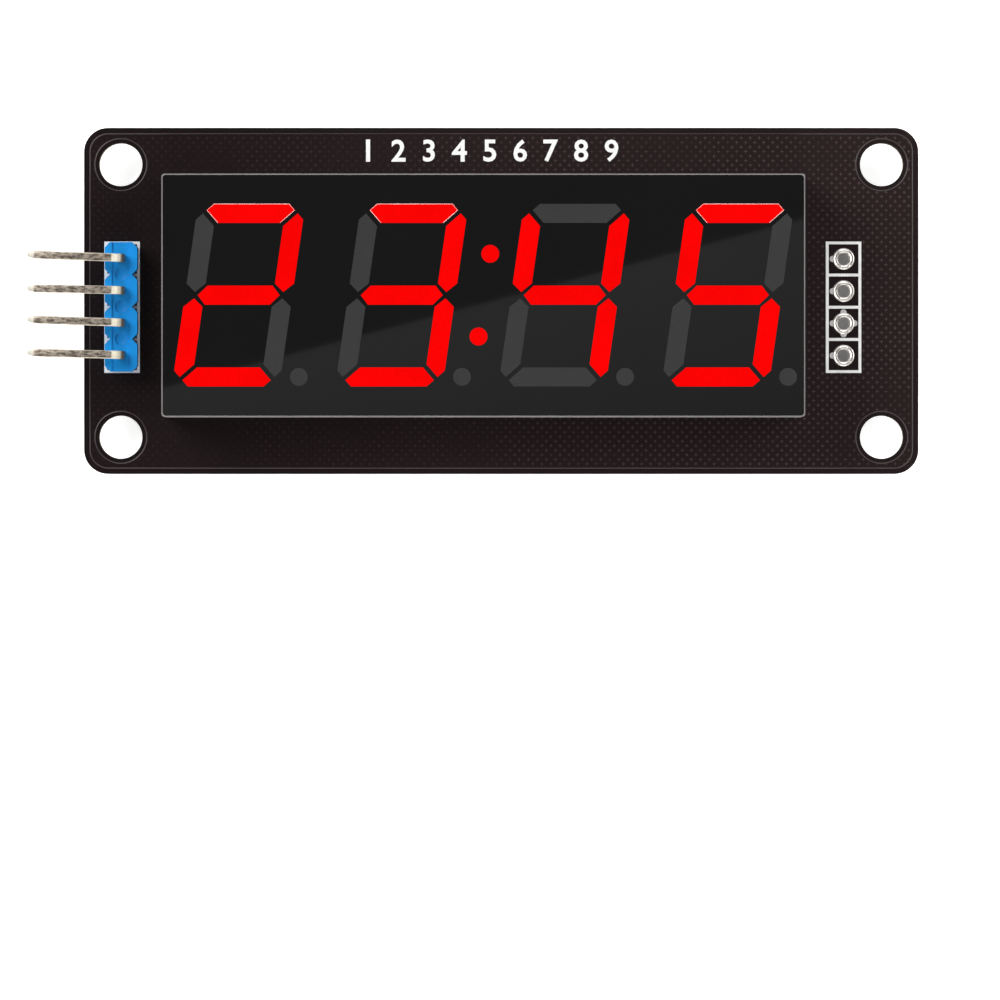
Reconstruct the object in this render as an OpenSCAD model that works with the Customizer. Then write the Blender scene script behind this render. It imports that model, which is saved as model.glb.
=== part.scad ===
// Four digit seven segment display module, lying on its back.
// The origin is the centre of the four mounting holes, on the rear face of the board.
// +X runs along the board to the spare pads, +Y to its top edge, +Z out of the display's face.

/* [Circuit board] */
// Bare board to the left of the display
left_strip = 6.35; // [5.9:0.05:9]
// Bare board to the right of the display
right_strip = 9.15; // [8.4:0.05:14]
// Bare board above the display
top_strip = 3.85; // [3:0.05:8]
// Bare board below the display
bottom_strip = 4.45; // [3.6:0.05:8]
// Thickness of the board
board_t = 1.6; // [0.8:0.1:2.4]
// Radius of the board's corners
board_corner_r = 1.9; // [0.5:0.1:2.8]
// Mounting hole's centre to the board's edges
hole_inset = 2.9; // [2.5:0.05:3.2]
// Diameter of the mounting holes
hole_d = 3.4; // [2.4:0.1:3.6]
// Wall of the copper plated in a pin hole
plating_t = 0.04; // [0.02:0.01:0.06]
// Height of a copper land above the board
land_t = 0.05; // [0.03:0.01:0.08]
// Height of the printed lines above the board
print_t = 0.03; // [0.02:0.01:0.05]
// Width of the printed lines
print_line = 0.23; // [0.15:0.01:0.3]

/* [Display body] */
// Distance from digit to digit
digit_pitch = 12.74; // [12.2:0.02:14]
// Centre of an end digit to the display's end
digit_end = 6.04; // [5.9:0.02:8]
// Width of the display across the digits
display_w = 19; // [18.2:0.1:22]
// Height of the display above the board
display_h = 8; // [6.4:0.1:10]
// Wall of the display's open back
display_wall = 1; // [0.6:0.05:1.2]
// Depth of the open back, up to the reflector
back_depth = 3; // [2.4:0.1:3.6]
// Height of the corner feet under the rim
foot_h = 0.4; // [0.2:0.05:0.5]
// Length of each corner foot
foot_l = 3; // [1.5:0.1:5]
// Radius of the display's corners
display_corner_r = 0.25; // [0.1:0.05:0.6]
// Thickness of the black face film
film_t = 0.08; // [0.04:0.01:0.15]
// Pale rim left round the face film
film_inset = 0.1; // [0.05:0.01:0.3]
// Thickness of the board that carries the light chips
carrier_t = 1; // [0.6:0.1:1.2]
// Gap round the carrier board
carrier_gap = 0.1; // [0.05:0.01:0.2]
// Step from the rim in to the potting
potting_step = 0.5; // [0.3:0.05:0.8]

/* [Digits] */
// Height of a digit
digit_h = 14.28; // [12:0.02:15]
// Width of a digit before it leans
digit_w = 8.4; // [7:0.1:8.8]
// Width of a segment
segment_w = 1.5; // [1.1:0.05:1.8]
// Gap between neighbouring segments
segment_gap = 0.34; // [0.2:0.02:0.6]
// Length of a segment's pointed end
segment_tip = 0.67; // [0.4:0.01:0.9]
// Leg of the cut across a digit's corner
corner_cut = 1.24; // [0.7:0.02:1.5]
// Angle by which the digits lean
digit_lean = 8.1; // [0:0.1:10]
// Floor of a light well as a share of its mouth
well_taper = 0.72; // [0.5:0.02:0.95]
// Diameter of the decimal points and colon dots
dot_d = 1.4; // [1:0.1:1.6]
// Decimal point's centre to the digit's side
point_out = 1.41; // [1.2:0.01:1.5]
// Decimal point's centre above the digit's foot
point_up = 0.76; // [0.7:0.02:1.4]
// Distance between the two colon dots
colon_gap = 6.46; // [4:0.02:9]
// Gap that the cast resin leaves to its well as it shrinks
resin_gap = 0.004; // [0.002:0.001:0.01]
// Side of a light chip
die_w = 0.3; // [0.2:0.02:0.4]
// Height of a light chip
die_h = 0.2; // [0.1:0.02:0.3]

/* [Display pins] */
// Distance from pin to pin
pin_pitch = 2.54; // [2:0.01:3]
// Distance between the two rows
row_gap = 15.24; // [14.4:0.02:15.6]
// Diameter of a display pin
display_pin_d = 0.5; // [0.4:0.02:0.6]
// Finished diameter of a display pin's hole
display_hole_d = 0.9; // [0.8:0.02:1.1]
// Diameter of a display pin's land
display_land_d = 1.5; // [1.3:0.02:1.7]
// Length of a pin behind the board
pin_tail = 1.4; // [1.2:0.1:2]
// Height of a solder joint behind the board
joint_h = 1.05; // [0.6:0.05:1.1]

/* [Header] */
// Row of header pins to the board's left edge
header_in = 3; // [2.8:0.05:4]
// Row of spare pads to the board's right edge
spare_in = 5.9; // [3:0.05:6.2]
// Middle of the header row above the board's middle
header_up = -0.5; // [-1.5:0.1:1.5]
// Side of a square header pin
header_pin_w = 0.64; // [0.5:0.02:0.64]
// Width of the header's insulator
insulator_w = 2.55; // [2.3:0.05:2.7]
// Height of the header's insulator
insulator_h = 2.54; // [1.5:0.02:3]
// Leg of the cuts between the insulator's cells
insulator_cut = 0.42; // [0.2:0.02:0.6]
// Width of the channel along the insulator's top
channel_w = 1.42; // [1:0.02:1.6]
// Depth of that channel
channel_d = 0.16; // [0.08:0.02:0.3]
// Diameter of the ejector marks in the channel
ejector_d = 0.95; // [0.6:0.05:1.2]
// Pin's axis in the board to its tip
pin_reach = 7.3; // [5:0.1:10]
// Height of the pin's bent run above the insulator
pin_rise = 1.3; // [1.05:0.05:2.5]
// Inner radius of the pin's bend
bend_r = 0.35; // [0.2:0.05:0.6]
// Length of the pin's tapered tip
tip_l = 0.63; // [0.3:0.01:1]
// Finished diameter of a header hole
header_hole_d = 1; // [0.94:0.02:1.1]
// Diameter of a header land
header_land_d = 1.7; // [1.5:0.02:1.9]

/* [Driver chip] */
// Distance from lead to lead
lead_pitch = 1.27; // [1:0.01:1.4]
// Last lead's centre to the chip's end
chip_end = 0.68; // [0.4:0.02:1]
// Width of the chip's body
chip_w = 7.5; // [6:0.1:7.8]
// Height of the chip's body
chip_h = 2.35; // [1.5:0.05:2.6]
// Gap between the chip's body and the board
chip_lift = 0.3; // [0.15:0.05:0.4]
// Draft angle of the chip's sides
chip_draft = 7; // [3:0.5:10]
// Width of a chip lead
lead_w = 0.42; // [0.3:0.02:0.5]
// Thickness of a chip lead
lead_t = 0.25; // [0.15:0.01:0.3]
// Distance across the leads, tip to tip
lead_span = 10.4; // [10:0.05:10.8]
// Length of a lead's foot
foot_reach = 0.85; // [0.5:0.05:1]
// Bare board from the chip's lands to the display pins' lands
land_gap = 0.54; // [0.4:0.01:0.7]
// Width of a chip land
chip_land_w = 0.62; // [0.5:0.02:0.8]
// Diameter of the mark at the first lead
mark_d = 1; // [0.6:0.1:1.2]
// Depth of that mark
mark_depth = 0.1; // [0.05:0.01:0.2]

/* [Small parts] */
// Length of a small chip part
small_l = 1.6; // [1.4:0.05:1.8]
// Width of a small chip part
small_w = 0.8; // [0.6:0.05:0.9]
// Length of its metal ends
end_l = 0.34; // [0.2:0.02:0.4]
// Thickness of that metal
end_t = 0.03; // [0.02:0.01:0.05]
// Height of a capacitor
capacitor_h = 0.8; // [0.5:0.05:0.9]
// Height of a resistor
resistor_h = 0.45; // [0.3:0.05:0.6]
// Thickness of the power light's base
light_base_h = 0.3; // [0.2:0.02:0.4]
// Height of the power light's lens
light_lens_h = 0.35; // [0.2:0.02:0.5]
// Length of the power light's lens
light_lens_l = 1.06; // [0.8:0.02:1.1]
// Distance between neighbouring small parts
small_pitch = 2.04; // [1.9:0.01:2.5]
// Distance between rows of small parts
small_row = 3.6; // [3.5:0.05:4.2]
// Land past a small part's end
small_land_past = 0.55; // [0.3:0.01:0.6]

/* [Hidden] */
$fn = 48;
// Number of digits, of pins in a display row, of header pins and of leads on a side
digits = 4;
row_pins = 6;
header_pins = 4;
side_leads = 10;
segments = ["a", "b", "c", "d", "e", "f", "g"];
// Overrun of a cut past the face it opens
cut = 0.04;
// Lean of each header pin, as they were bent by hand
pin_lean = [-2.1, -1.2, -2.0, -1.5];

// Display and board outlines
display_l = (digits - 1) * digit_pitch + 2 * digit_end;
board_l = display_l + left_strip + right_strip;
board_w = display_w + top_strip + bottom_strip;
display_x = (left_strip - right_strip) / 2;
display_y = (bottom_strip - top_strip) / 2;
hole_x = board_l / 2 - hole_inset;
hole_y = board_w / 2 - hole_inset;

// Levels through the display
face_z = board_t + display_h;
floor_z = board_t + back_depth;
carrier_z = floor_z - carrier_t;
well_h = face_z - floor_z;
inner_l = display_l - 2 * display_wall;
inner_w = display_w - 2 * display_wall;

// Digit corners, and how far a gap sets a segment back along the axes
half_h = digit_h / 2;
half_w = digit_w / 2;
set_back = segment_gap / sqrt(2);
dot_r = dot_d / 2;
colon_shift = 0.085;

// Header and spare pads
header_x = header_in - board_l / 2;
spare_x = board_l / 2 - spare_in;
header_len = header_pins * pin_pitch;
seat_z = board_t + land_t;
insulator_top = seat_z + insulator_h;
run_z = insulator_top + pin_rise;
bend_axis_r = bend_r + header_pin_w / 2;
print_box_w = 2.8;
print_box_end = 0.1;
nub_d = 0.5;
ground_pad = 2;

// Driver chip, placed from the display's centre
chip_x = display_x + 0.5;
chip_y = display_y - 0.2;
chip_l = (side_leads - 1) * lead_pitch + 2 * chip_end;
chip_mid = chip_lift + chip_h / 2;
land_inner = lead_span / 2 - foot_reach;
land_outer = (row_gap - display_land_d) / 2 - abs(chip_y - display_y) - land_gap;
toe_solder = 0.83;
lead_root = 0.5;
knee_out = 0.3;
mark_in = 1.06;
mark_up = 1.48;

// Small parts, in columns away from the chip: what stands in each place
first_gap = 3.4;
first_row_in = 0.24;
capacitor_places = [[0, 0], [1, 0], [2, 2], [3, 2]];
resistor_places = [[2, 0], [2, 1], [3, 1]];
light_places = [[3, 0]];
small_places = concat(capacitor_places, resistor_places, light_places);
small_land_in = 0.4;
light_lens_draft = 0.04;
bracket_w = 1.77;
bracket_l = 3.4;
bracket_gap = 1.4;
bracket_cut = 0.33;

// Printed shapes on the rear
ring_d = 5.3;
ring_line = 0.3;
outline_margin = 0.45;
outline_gap = 0.25;
notch_w = 1.55;
notch_tick = 0.5;
pin_ring_d = 0.6;
pin_ring_line = 0.12;
key_size = 1.13;
key_pitch = 1.5;
key_count = 5;
key_marked = 3;
key_in = 14.4;
key_up = -0.36;

single_nodes = [
    "circuit_board", "board_plating", "surface_lands", "front_print", "rear_print", "colour_mark",
    "display_housing", "display_face_film", "colon_dots", "decimal_points", "light_chips",
    "light_carrier_board", "display_potting", "display_pins", "display_solder",
    "header_insulator", "header_solder", "driver_chip_body", "driver_chip_leads",
    "driver_chip_solder", "capacitor_bodies", "capacitor_ends", "resistor_bodies",
    "resistor_ends", "power_light_base", "power_light_lens", "small_part_solder"
];

// Places of the repeated pieces
function mirrored(points, sx, sy) = [for (p = points) [p.x * sx, p.y * sy]];
function leaned(p) = [p.x + p.y * tan(digit_lean), p.y];
function middle(points) = [
    for (k = [0, 1]) [for (p = points) p[k]] * [for (p = points) 1 / len(points)]
];
function digit_x(d) = display_x + (d - (digits + 1) / 2) * digit_pitch;
function header_y(i) = header_up + ((header_pins + 1) / 2 - i) * pin_pitch;
function small_x(place) = chip_x - chip_l / 2 - first_gap - place.x * small_pitch;
function small_y(place) = chip_y + lead_span / 2 - first_row_in - place.y * small_row;
function display_pin_places() = [
    for (side = [-1, 1], k = [0 : row_pins - 1])
        [display_x + (k - (row_pins - 1) / 2) * pin_pitch, display_y + side * row_gap / 2]
];

// Outlines of the three kinds of segment: end bar, upper right bar and middle bar
function end_bar() = let (
    tip = [half_w - (corner_cut + set_back) / 2, half_h - (corner_cut - set_back) / 2],
    outer = [half_w - corner_cut, half_h],
    inner = [half_w - segment_w - set_back, half_h - segment_w]
) [outer, tip, inner, [-inner.x, inner.y], [-tip.x, tip.y], [-outer.x, outer.y]];

function side_bar() = let (
    tip = [half_w - (corner_cut - set_back) / 2, half_h - (corner_cut + set_back) / 2],
    shoulder = set_back + segment_tip
) [
    tip,
    [half_w, half_h - corner_cut],
    [half_w, shoulder],
    [half_w - segment_w / 2, set_back],
    [half_w - segment_w, shoulder],
    [half_w - segment_w, half_h - segment_w - set_back]
];

function middle_bar() = let (
    tip = half_w - segment_w / 2 - set_back,
    shoulder = tip - segment_tip,
    up = segment_w / 2
) [[tip, 0], [shoulder, up], [-shoulder, up], [-tip, 0], [-shoulder, -up], [shoulder, -up]];

function segment_outline(s) =
    s == "a" ? end_bar() :
    s == "b" ? side_bar() :
    s == "c" ? mirrored(side_bar(), 1, -1) :
    s == "d" ? mirrored(end_bar(), 1, -1) :
    s == "e" ? mirrored(side_bar(), -1, -1) :
    s == "f" ? mirrored(side_bar(), -1, 1) : middle_bar();

function segment_points(d, s) = [
    for (p = segment_outline(s)) [digit_x(d), display_y] + leaned(p)
];
function point_place(d) =
    [digit_x(d), display_y] + leaned([half_w + point_out, point_up - half_h]);
function colon_place(side) =
    [display_x + colon_shift, display_y] + leaned([0, side * colon_gap / 2]);
function dot_places() = concat(
    [for (side = [-1, 1]) colon_place(side)],
    [for (d = [1 : digits]) point_place(d)]
);

// A light well widens evenly from its floor to the face
function well_share(z) = well_taper + (1 - well_taper) * (z - floor_z) / well_h;

// A flat slab with round corners
module rounded_rectangle(l, w, r) {
    square([l - 2 * r, w], center = true);
    square([l, w - 2 * r], center = true);
    for (sx = [-1, 1], sy = [-1, 1])
        translate([sx * (l / 2 - r), sy * (w / 2 - r)]) circle(r);
}

// The stretch of a segment's light well between two levels, drawn in by a gap
module bar_well(points, low, high, gap = 0) {
    c = middle(points);
    translate([c.x, c.y, low])
        linear_extrude(height = high - low, scale = well_share(high) / well_share(low))
            offset(delta = -gap)
                polygon([for (p = points) (p - c) * well_share(low)]);
}

// The stretch of a round light well between two levels, drawn in by a gap
module dot_well(place, low, high, gap = 0) {
    translate([place.x, place.y, low])
        cylinder(
            h = high - low,
            r1 = dot_r * well_share(low) - gap,
            r2 = dot_r * well_share(high) - gap
        );
}

module all_wells(low, high) {
    for (d = [1 : digits], s = segments) bar_well(segment_points(d, s), low, high);
    for (place = dot_places()) dot_well(place, low, high);
}

// A light chip at the bottom of a well
module light_chip(place) {
    translate([place.x - die_w / 2, place.y - die_w / 2, floor_z]) cube([die_w, die_w, die_h]);
}

module circuit_board() {
    color([0.09, 0.07, 0.07])
    linear_extrude(height = board_t)
    difference() {
        rounded_rectangle(board_l, board_w, board_corner_r);
        for (sx = [-1, 1], sy = [-1, 1])
            translate([sx * hole_x, sy * hole_y]) circle(d = hole_d);
        for (place = display_pin_places())
            translate(place) circle(d = display_hole_d + 2 * plating_t);
        for (x = [header_x, spare_x], i = [1 : header_pins])
            translate([x, header_y(i)]) circle(d = header_hole_d + 2 * plating_t);
    }
}

// One plated hole: a copper tube with a land on each face
module plated_hole(hole, land) {
    rotate_extrude()
        polygon([
            [hole / 2, -land_t],
            [land / 2, -land_t],
            [land / 2, 0],
            [hole / 2 + plating_t, 0],
            [hole / 2 + plating_t, board_t],
            [land / 2, board_t],
            [land / 2, board_t + land_t],
            [hole / 2, board_t + land_t]
        ]);
}

// The end of a copper track, just past the rim of a front land
module land_nub(angle) {
    rotate([0, 0, angle])
    translate([0, 0, board_t])
    linear_extrude(height = land_t)
    difference() {
        translate([header_land_d / 2, 0]) circle(d = nub_d);
        circle(d = header_land_d - nub_d / 2);
    }
}

module board_plating() {
    color([0.78, 0.77, 0.72]) {
        for (place = display_pin_places())
            translate([place.x, place.y, 0]) plated_hole(display_hole_d, display_land_d);
        for (x = [header_x, spare_x], i = [1 : header_pins])
            translate([x, header_y(i), 0]) {
                plated_hole(header_hole_d, header_land_d);
                for (angle = i - 1 == ground_pad ? [0, 90, 180, 270] : [180]) land_nub(angle);
            }
    }
}

// A flat land on the rear face, rounded at its outer end, reaching out along +Y
module rear_land(w, inner, outer) {
    translate([0, 0, -land_t])
    linear_extrude(height = land_t) {
        translate([-w / 2, inner]) square([w, outer - inner - w / 2]);
        translate([0, outer - w / 2]) circle(d = w);
    }
}

// The two sides of each lead place and the two ends of each small part
module at_leads() {
    for (k = [0 : side_leads - 1], side = [0, 1])
        translate([chip_x + (k - (side_leads - 1) / 2) * lead_pitch, chip_y, 0])
            rotate([0, 0, 180 * side]) children();
}

module at_small_parts(places) {
    for (place = places) translate([small_x(place), small_y(place), 0]) children();
}

module at_small_ends(places) {
    at_small_parts(places)
        for (side = [0, 1]) rotate([0, 0, 180 * side]) children();
}

module surface_lands() {
    color([0.72, 0.71, 0.68]) {
        at_leads()
            rear_land(chip_land_w, land_inner, land_outer);
        at_small_ends(small_places)
            translate([-small_w / 2, small_l / 2 - small_land_in, -land_t])
                cube([small_w, small_land_in + small_land_past, land_t]);
    }
}

// A printed box with a cell for each pin
module pin_grid() {
    l = header_len + 2 * print_box_end;
    linear_extrude(height = print_t)
    difference() {
        square([print_box_w, l], center = true);
        for (i = [1 : header_pins])
            translate([0, header_y(i) - header_up])
                square([print_box_w - 2 * print_line, pin_pitch - print_line], center = true);
    }
}

module front_print() {
    color([0.92, 0.93, 0.93])
    for (x = [header_x, spare_x]) translate([x, header_up, board_t]) pin_grid();
}

module ring(d, line) {
    difference() {
        circle(d = d);
        circle(d = d - 2 * line);
    }
}

// The printed bracket round a small part, open at the middle of its long sides
module bracket() {
    difference() {
        square([bracket_w, bracket_l], center = true);
        square([bracket_w - 2 * print_line, bracket_l - 2 * print_line], center = true);
        square([bracket_w + 2 * cut, bracket_gap], center = true);
    }
}

// A rectangle with the two corners of its lower end cut off
module cut_rectangle(w, l) {
    polygon([
        [-w / 2, l / 2], [-w / 2, bracket_cut - l / 2], [bracket_cut - w / 2, -l / 2],
        [w / 2 - bracket_cut, -l / 2], [w / 2, bracket_cut - l / 2], [w / 2, l / 2]
    ]);
}

// The power light's bracket: its lower end is cut, with a bar that fills the step to the next
module light_bracket() {
    difference() {
        cut_rectangle(bracket_w, bracket_l);
        cut_rectangle(bracket_w - 2 * print_line, bracket_l - 2 * print_line);
        square([bracket_w + 2 * cut, bracket_gap], center = true);
    }
    translate([0, -small_row / 2])
        square([bracket_w - 2 * bracket_cut, small_row - bracket_l + print_line], center = true);
}

// The printed outline of the driver chip, with its notch towards the first lead
module chip_outline() {
    l = chip_l + 2 * outline_margin;
    w = 2 * (land_inner - outline_gap);
    difference() {
        square([l, w], center = true);
        square([l - 2 * print_line, w - 2 * print_line], center = true);
        translate([l / 2, 0]) square([4 * print_line, notch_w], center = true);
    }
    for (side = [-1, 1])
        translate([l / 2 - notch_tick / 2, side * (notch_w + print_line) / 2])
            square([notch_tick, print_line], center = true);
}

function key_place(k) =
    [board_l / 2 - key_in, key_up + ((key_count - 1) / 2 - k) * key_pitch];

module rear_print() {
    color([0.92, 0.93, 0.93])
    translate([0, 0, -print_t])
    linear_extrude(height = print_t) {
        for (sx = [-1, 1], sy = [-1, 1])
            translate([sx * hole_x, sy * hole_y]) ring(ring_d, ring_line);
        translate([chip_x, chip_y]) chip_outline();
        at_small_parts(concat(capacitor_places, resistor_places)) bracket();
        at_small_parts(light_places) light_bracket();
        translate([chip_x + chip_l / 2 + notch_tick, chip_y - lead_span / 2])
            ring(pin_ring_d, pin_ring_line);
        for (k = [0 : key_count - 1])
            if (k != key_marked) translate(key_place(k)) square(key_size, center = true);
    }
}

module colour_mark() {
    color([0.9, 0.05, 0.05])
    translate([0, 0, -print_t])
        linear_extrude(height = print_t)
            translate(key_place(key_marked)) square(key_size, center = true);
}

// The moulded reflector: one open-backed box pierced by a tapered well for each light
module display_housing() {
    body_top = face_z - film_t;
    color([0.78, 0.78, 0.76])
    difference() {
        translate([display_x, display_y, board_t])
            linear_extrude(height = body_top - board_t)
                rounded_rectangle(display_l, display_w, display_corner_r);
        translate([display_x - inner_l / 2, display_y - inner_w / 2, board_t - cut])
            cube([inner_l, inner_w, floor_z - board_t + cut]);
        all_wells(floor_z - cut, body_top + cut);
        translate([display_x - display_l / 2 + foot_l, display_y - display_w, board_t - cut])
            cube([display_l - 2 * foot_l, 2 * display_w, foot_h + cut]);
        translate([display_x - display_l, display_y - display_w / 2 + foot_l, board_t - cut])
            cube([2 * display_l, display_w - 2 * foot_l, foot_h + cut]);
    }
}

module display_face_film() {
    color([0.1, 0.1, 0.1])
    difference() {
        translate([display_x, display_y, face_z - film_t])
            linear_extrude(height = film_t)
                rounded_rectangle(
                    display_l - 2 * film_inset, display_w - 2 * film_inset, display_corner_r
                );
        all_wells(face_z - film_t - cut, face_z + cut);
    }
}

// The cast resin of one segment, moulded round its light chip
module segment_window(d, s) {
    points = segment_points(d, s);
    color([0.85, 0.1, 0.08])
    difference() {
        bar_well(points, floor_z, face_z, resin_gap);
        light_chip(middle(points));
    }
}

module dot_window(place) {
    difference() {
        dot_well(place, floor_z, face_z, resin_gap);
        light_chip(place);
    }
}

module colon_dots() {
    color([0.85, 0.1, 0.08])
    for (side = [-1, 1]) dot_window(colon_place(side));
}

module decimal_points() {
    color([0.3, 0.3, 0.3])
    for (d = [1 : digits]) dot_window(point_place(d));
}

module light_chips() {
    color([0.8, 0.7, 0.3]) {
        for (d = [1 : digits], s = segments) light_chip(middle(segment_points(d, s)));
        for (place = dot_places()) light_chip(place);
    }
}

module display_pin_holes(low, high) {
    for (place = display_pin_places())
        translate([place.x, place.y, low]) cylinder(h = high - low, d = display_pin_d);
}

module light_carrier_board() {
    l = inner_l - 2 * carrier_gap;
    w = inner_w - 2 * carrier_gap;
    color([0.75, 0.7, 0.5])
    difference() {
        translate([display_x - l / 2, display_y - w / 2, carrier_z]) cube([l, w, carrier_t]);
        display_pin_holes(carrier_z - cut, floor_z + cut);
    }
}

module display_potting() {
    low = board_t + potting_step;
    color([0.82, 0.8, 0.72])
    difference() {
        translate([display_x - inner_l / 2, display_y - inner_w / 2, low])
            cube([inner_l, inner_w, carrier_z - low]);
        display_pin_holes(low - cut, carrier_z + cut);
    }
}

module display_pins() {
    color([0.75, 0.75, 0.72])
    for (place = display_pin_places())
        translate([place.x, place.y, -pin_tail])
            cylinder(h = floor_z + pin_tail, d = display_pin_d);
}

// A solder joint turned about its pin: it fills the hole and flares down to the rear land
module solder_joint(hole, land, core) {
    steps = 6;
    skin = 0.1;
    top = core / 2 + skin;
    rim = land / 2 - 0.02;
    rotate_extrude()
        polygon(concat(
            [[0, seat_z], [hole / 2, seat_z], [hole / 2, -land_t]],
            [for (k = [0 : steps]) let (u = k / steps)
                [top + (rim - top) * pow(1 - u, 2), -land_t - (joint_h - land_t) * u]],
            [[0, -joint_h]]
        ));
}

module display_solder() {
    color([0.8, 0.8, 0.8])
    difference() {
        for (place = display_pin_places())
            translate([place.x, place.y, 0])
                solder_joint(display_hole_d, display_land_d, display_pin_d);
        display_pin_holes(-pin_tail - cut, floor_z);
    }
}

// The place of a header pin, turned by the pin's own lean
module at_header_pin(i) {
    translate([header_x, header_y(i), 0]) rotate([0, 0, pin_lean[i - 1]]) children();
}

module square_rod(low, high) {
    translate([-header_pin_w / 2, -header_pin_w / 2, low])
        cube([header_pin_w, header_pin_w, high - low]);
}

// A square pin that rises through the insulator, bends and runs out past the board's edge
module header_pin(i) {
    bend_z = run_z - bend_axis_r;
    run_l = pin_reach - tip_l - bend_axis_r;
    color([0.7, 0.68, 0.62])
    at_header_pin(i) {
        square_rod(-pin_tail, bend_z);
        translate([-bend_axis_r, header_pin_w / 2, bend_z])
            rotate([90, 0, 0])
                rotate_extrude(angle = 90)
                    translate([bend_r, 0]) square(header_pin_w);
        translate([-bend_axis_r - run_l, -header_pin_w / 2, run_z - header_pin_w / 2])
            cube([run_l, header_pin_w, header_pin_w]);
        translate([-bend_axis_r - run_l, 0, run_z])
            rotate([0, -90, 0])
                linear_extrude(height = tip_l, scale = 0.5) square(header_pin_w, center = true);
    }
}

// The outline of one cell of the insulator, square with its corners cut off
module insulator_cell() {
    x = insulator_w / 2;
    y = pin_pitch / 2;
    c = insulator_cut;
    polygon([
        [x - c, -y], [x, c - y], [x, y - c], [x - c, y],
        [c - x, y], [-x, y - c], [-x, c - y], [c - x, -y]
    ]);
}

module header_insulator() {
    color([0.08, 0.5, 0.85])
    difference() {
        for (i = [1 : header_pins])
            translate([header_x, header_y(i), seat_z])
                linear_extrude(height = insulator_h) insulator_cell();
        for (i = [1 : header_pins])
            at_header_pin(i) square_rod(seat_z - cut, insulator_top + cut);
        translate([header_x - channel_w / 2, header_up - header_len / 2 - cut,
            insulator_top - channel_d])
            cube([channel_w, header_len + 2 * cut, channel_d + cut]);
        for (i = [1 : header_pins - 1])
            translate([header_x, header_y(i) - pin_pitch / 2, insulator_top - 2 * channel_d])
                cylinder(h = 2 * channel_d, d = ejector_d);
    }
}

module header_solder() {
    color([0.8, 0.8, 0.8])
    difference() {
        for (i = [1 : header_pins])
            translate([header_x, header_y(i), 0])
                solder_joint(header_hole_d, header_land_d, header_pin_w * sqrt(2));
        for (i = [1 : header_pins]) at_header_pin(i) square_rod(-pin_tail - cut, seat_z + cut);
    }
}

// A lead, drawn as height below the rear face against distance from the chip's middle
module lead() {
    knee = chip_w / 2 + knee_out;
    toe = lead_span / 2;
    translate([-lead_w / 2, 0, 0])
    rotate([90, 0, 90])
    linear_extrude(height = lead_w)
        polygon([
            [chip_w / 2 - lead_root, -chip_mid + lead_t / 2],
            [knee, -chip_mid + lead_t / 2],
            [land_inner, -land_t],
            [toe, -land_t],
            [toe, -land_t - lead_t],
            [land_inner + lead_t, -land_t - lead_t],
            [knee + lead_t, -chip_mid - lead_t / 2],
            [chip_w / 2 - lead_root, -chip_mid - lead_t / 2]
        ]);
}

// A moulded block that stands on z = 0 and draws in by the same amount on all four sides
module drafted_block(l, w, h, inset) {
    corners = [[-1, -1], [1, -1], [1, 1], [-1, 1]];
    polyhedron(
        points = concat(
            [for (c = corners) [c.x * l / 2, c.y * w / 2, 0]],
            [for (c = corners) [c.x * (l / 2 - inset), c.y * (w / 2 - inset), h]]
        ),
        faces = concat(
            [[0, 1, 2, 3], [7, 6, 5, 4]],
            [for (k = [0 : 3]) let (n = (k + 1) % 4) [k, k + 4, n + 4, n]]
        )
    );
}

// Half of the chip's moulding, narrowing from the parting line by its draft
module chip_half() {
    drafted_block(chip_l, chip_w, chip_h / 2, chip_h / 2 * tan(chip_draft));
}

module driver_chip_body() {
    color([0.16, 0.16, 0.16])
    difference() {
        translate([chip_x, chip_y, -chip_mid]) {
            chip_half();
            mirror([0, 0, 1]) chip_half();
        }
        at_leads()
            translate([-lead_w / 2, chip_w / 2 - lead_root, -chip_mid - lead_t / 2])
                cube([lead_w, lead_root + cut, lead_t]);
        translate([
            chip_x + chip_l / 2 - mark_in,
            chip_y - chip_w / 2 + mark_up,
            -chip_lift - chip_h - cut
        ])
            cylinder(h = mark_depth + cut, d = mark_d);
    }
}

module driver_chip_leads() {
    color([0.75, 0.75, 0.75]) at_leads() lead();
}

// A concave run of solder from a part's end out over its land, reaching out along +Y
module solder_fillet(w, start, reach, rise) {
    steps = 4;
    translate([-w / 2, start, -land_t])
    rotate([90, 0, 90])
    linear_extrude(height = w)
        polygon(concat(
            [[0, 0]],
            [for (k = [0 : steps]) let (u = k / steps) [reach * u, -rise * pow(1 - u, 2)]]
        ));
}

module driver_chip_solder() {
    color([0.8, 0.8, 0.8])
    at_leads()
        solder_fillet(lead_w, lead_span / 2, (land_outer - lead_span / 2) * toe_solder, lead_t);
}

module small_part_solder() {
    color([0.8, 0.8, 0.8]) {
        at_small_ends(capacitor_places)
            solder_fillet(small_w, small_l / 2, small_land_past, capacitor_h * 0.6);
        at_small_ends(resistor_places)
            solder_fillet(small_w, small_l / 2, small_land_past, resistor_h * 0.8);
        at_small_ends(light_places)
            solder_fillet(small_w, small_l / 2, small_land_past, light_base_h * 0.9);
    }
}

// A block of a small part's size, taken in on every side, standing on its lands
module small_block(h, inset) {
    translate([inset - small_w / 2, inset - small_l / 2, inset - land_t - h])
        cube([small_w - 2 * inset, small_l - 2 * inset, h - 2 * inset]);
}

// The metal caps over the two ends of a small part
module small_ends(h) {
    difference() {
        small_block(h, 0);
        small_block(h, end_t);
        translate([-small_w, end_l - small_l / 2, -land_t - 2 * h])
            cube([2 * small_w, small_l - 2 * end_l, 3 * h]);
    }
}

module capacitor_bodies() {
    color([0.76, 0.62, 0.47]) at_small_parts(capacitor_places) small_block(capacitor_h, end_t);
}

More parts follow.
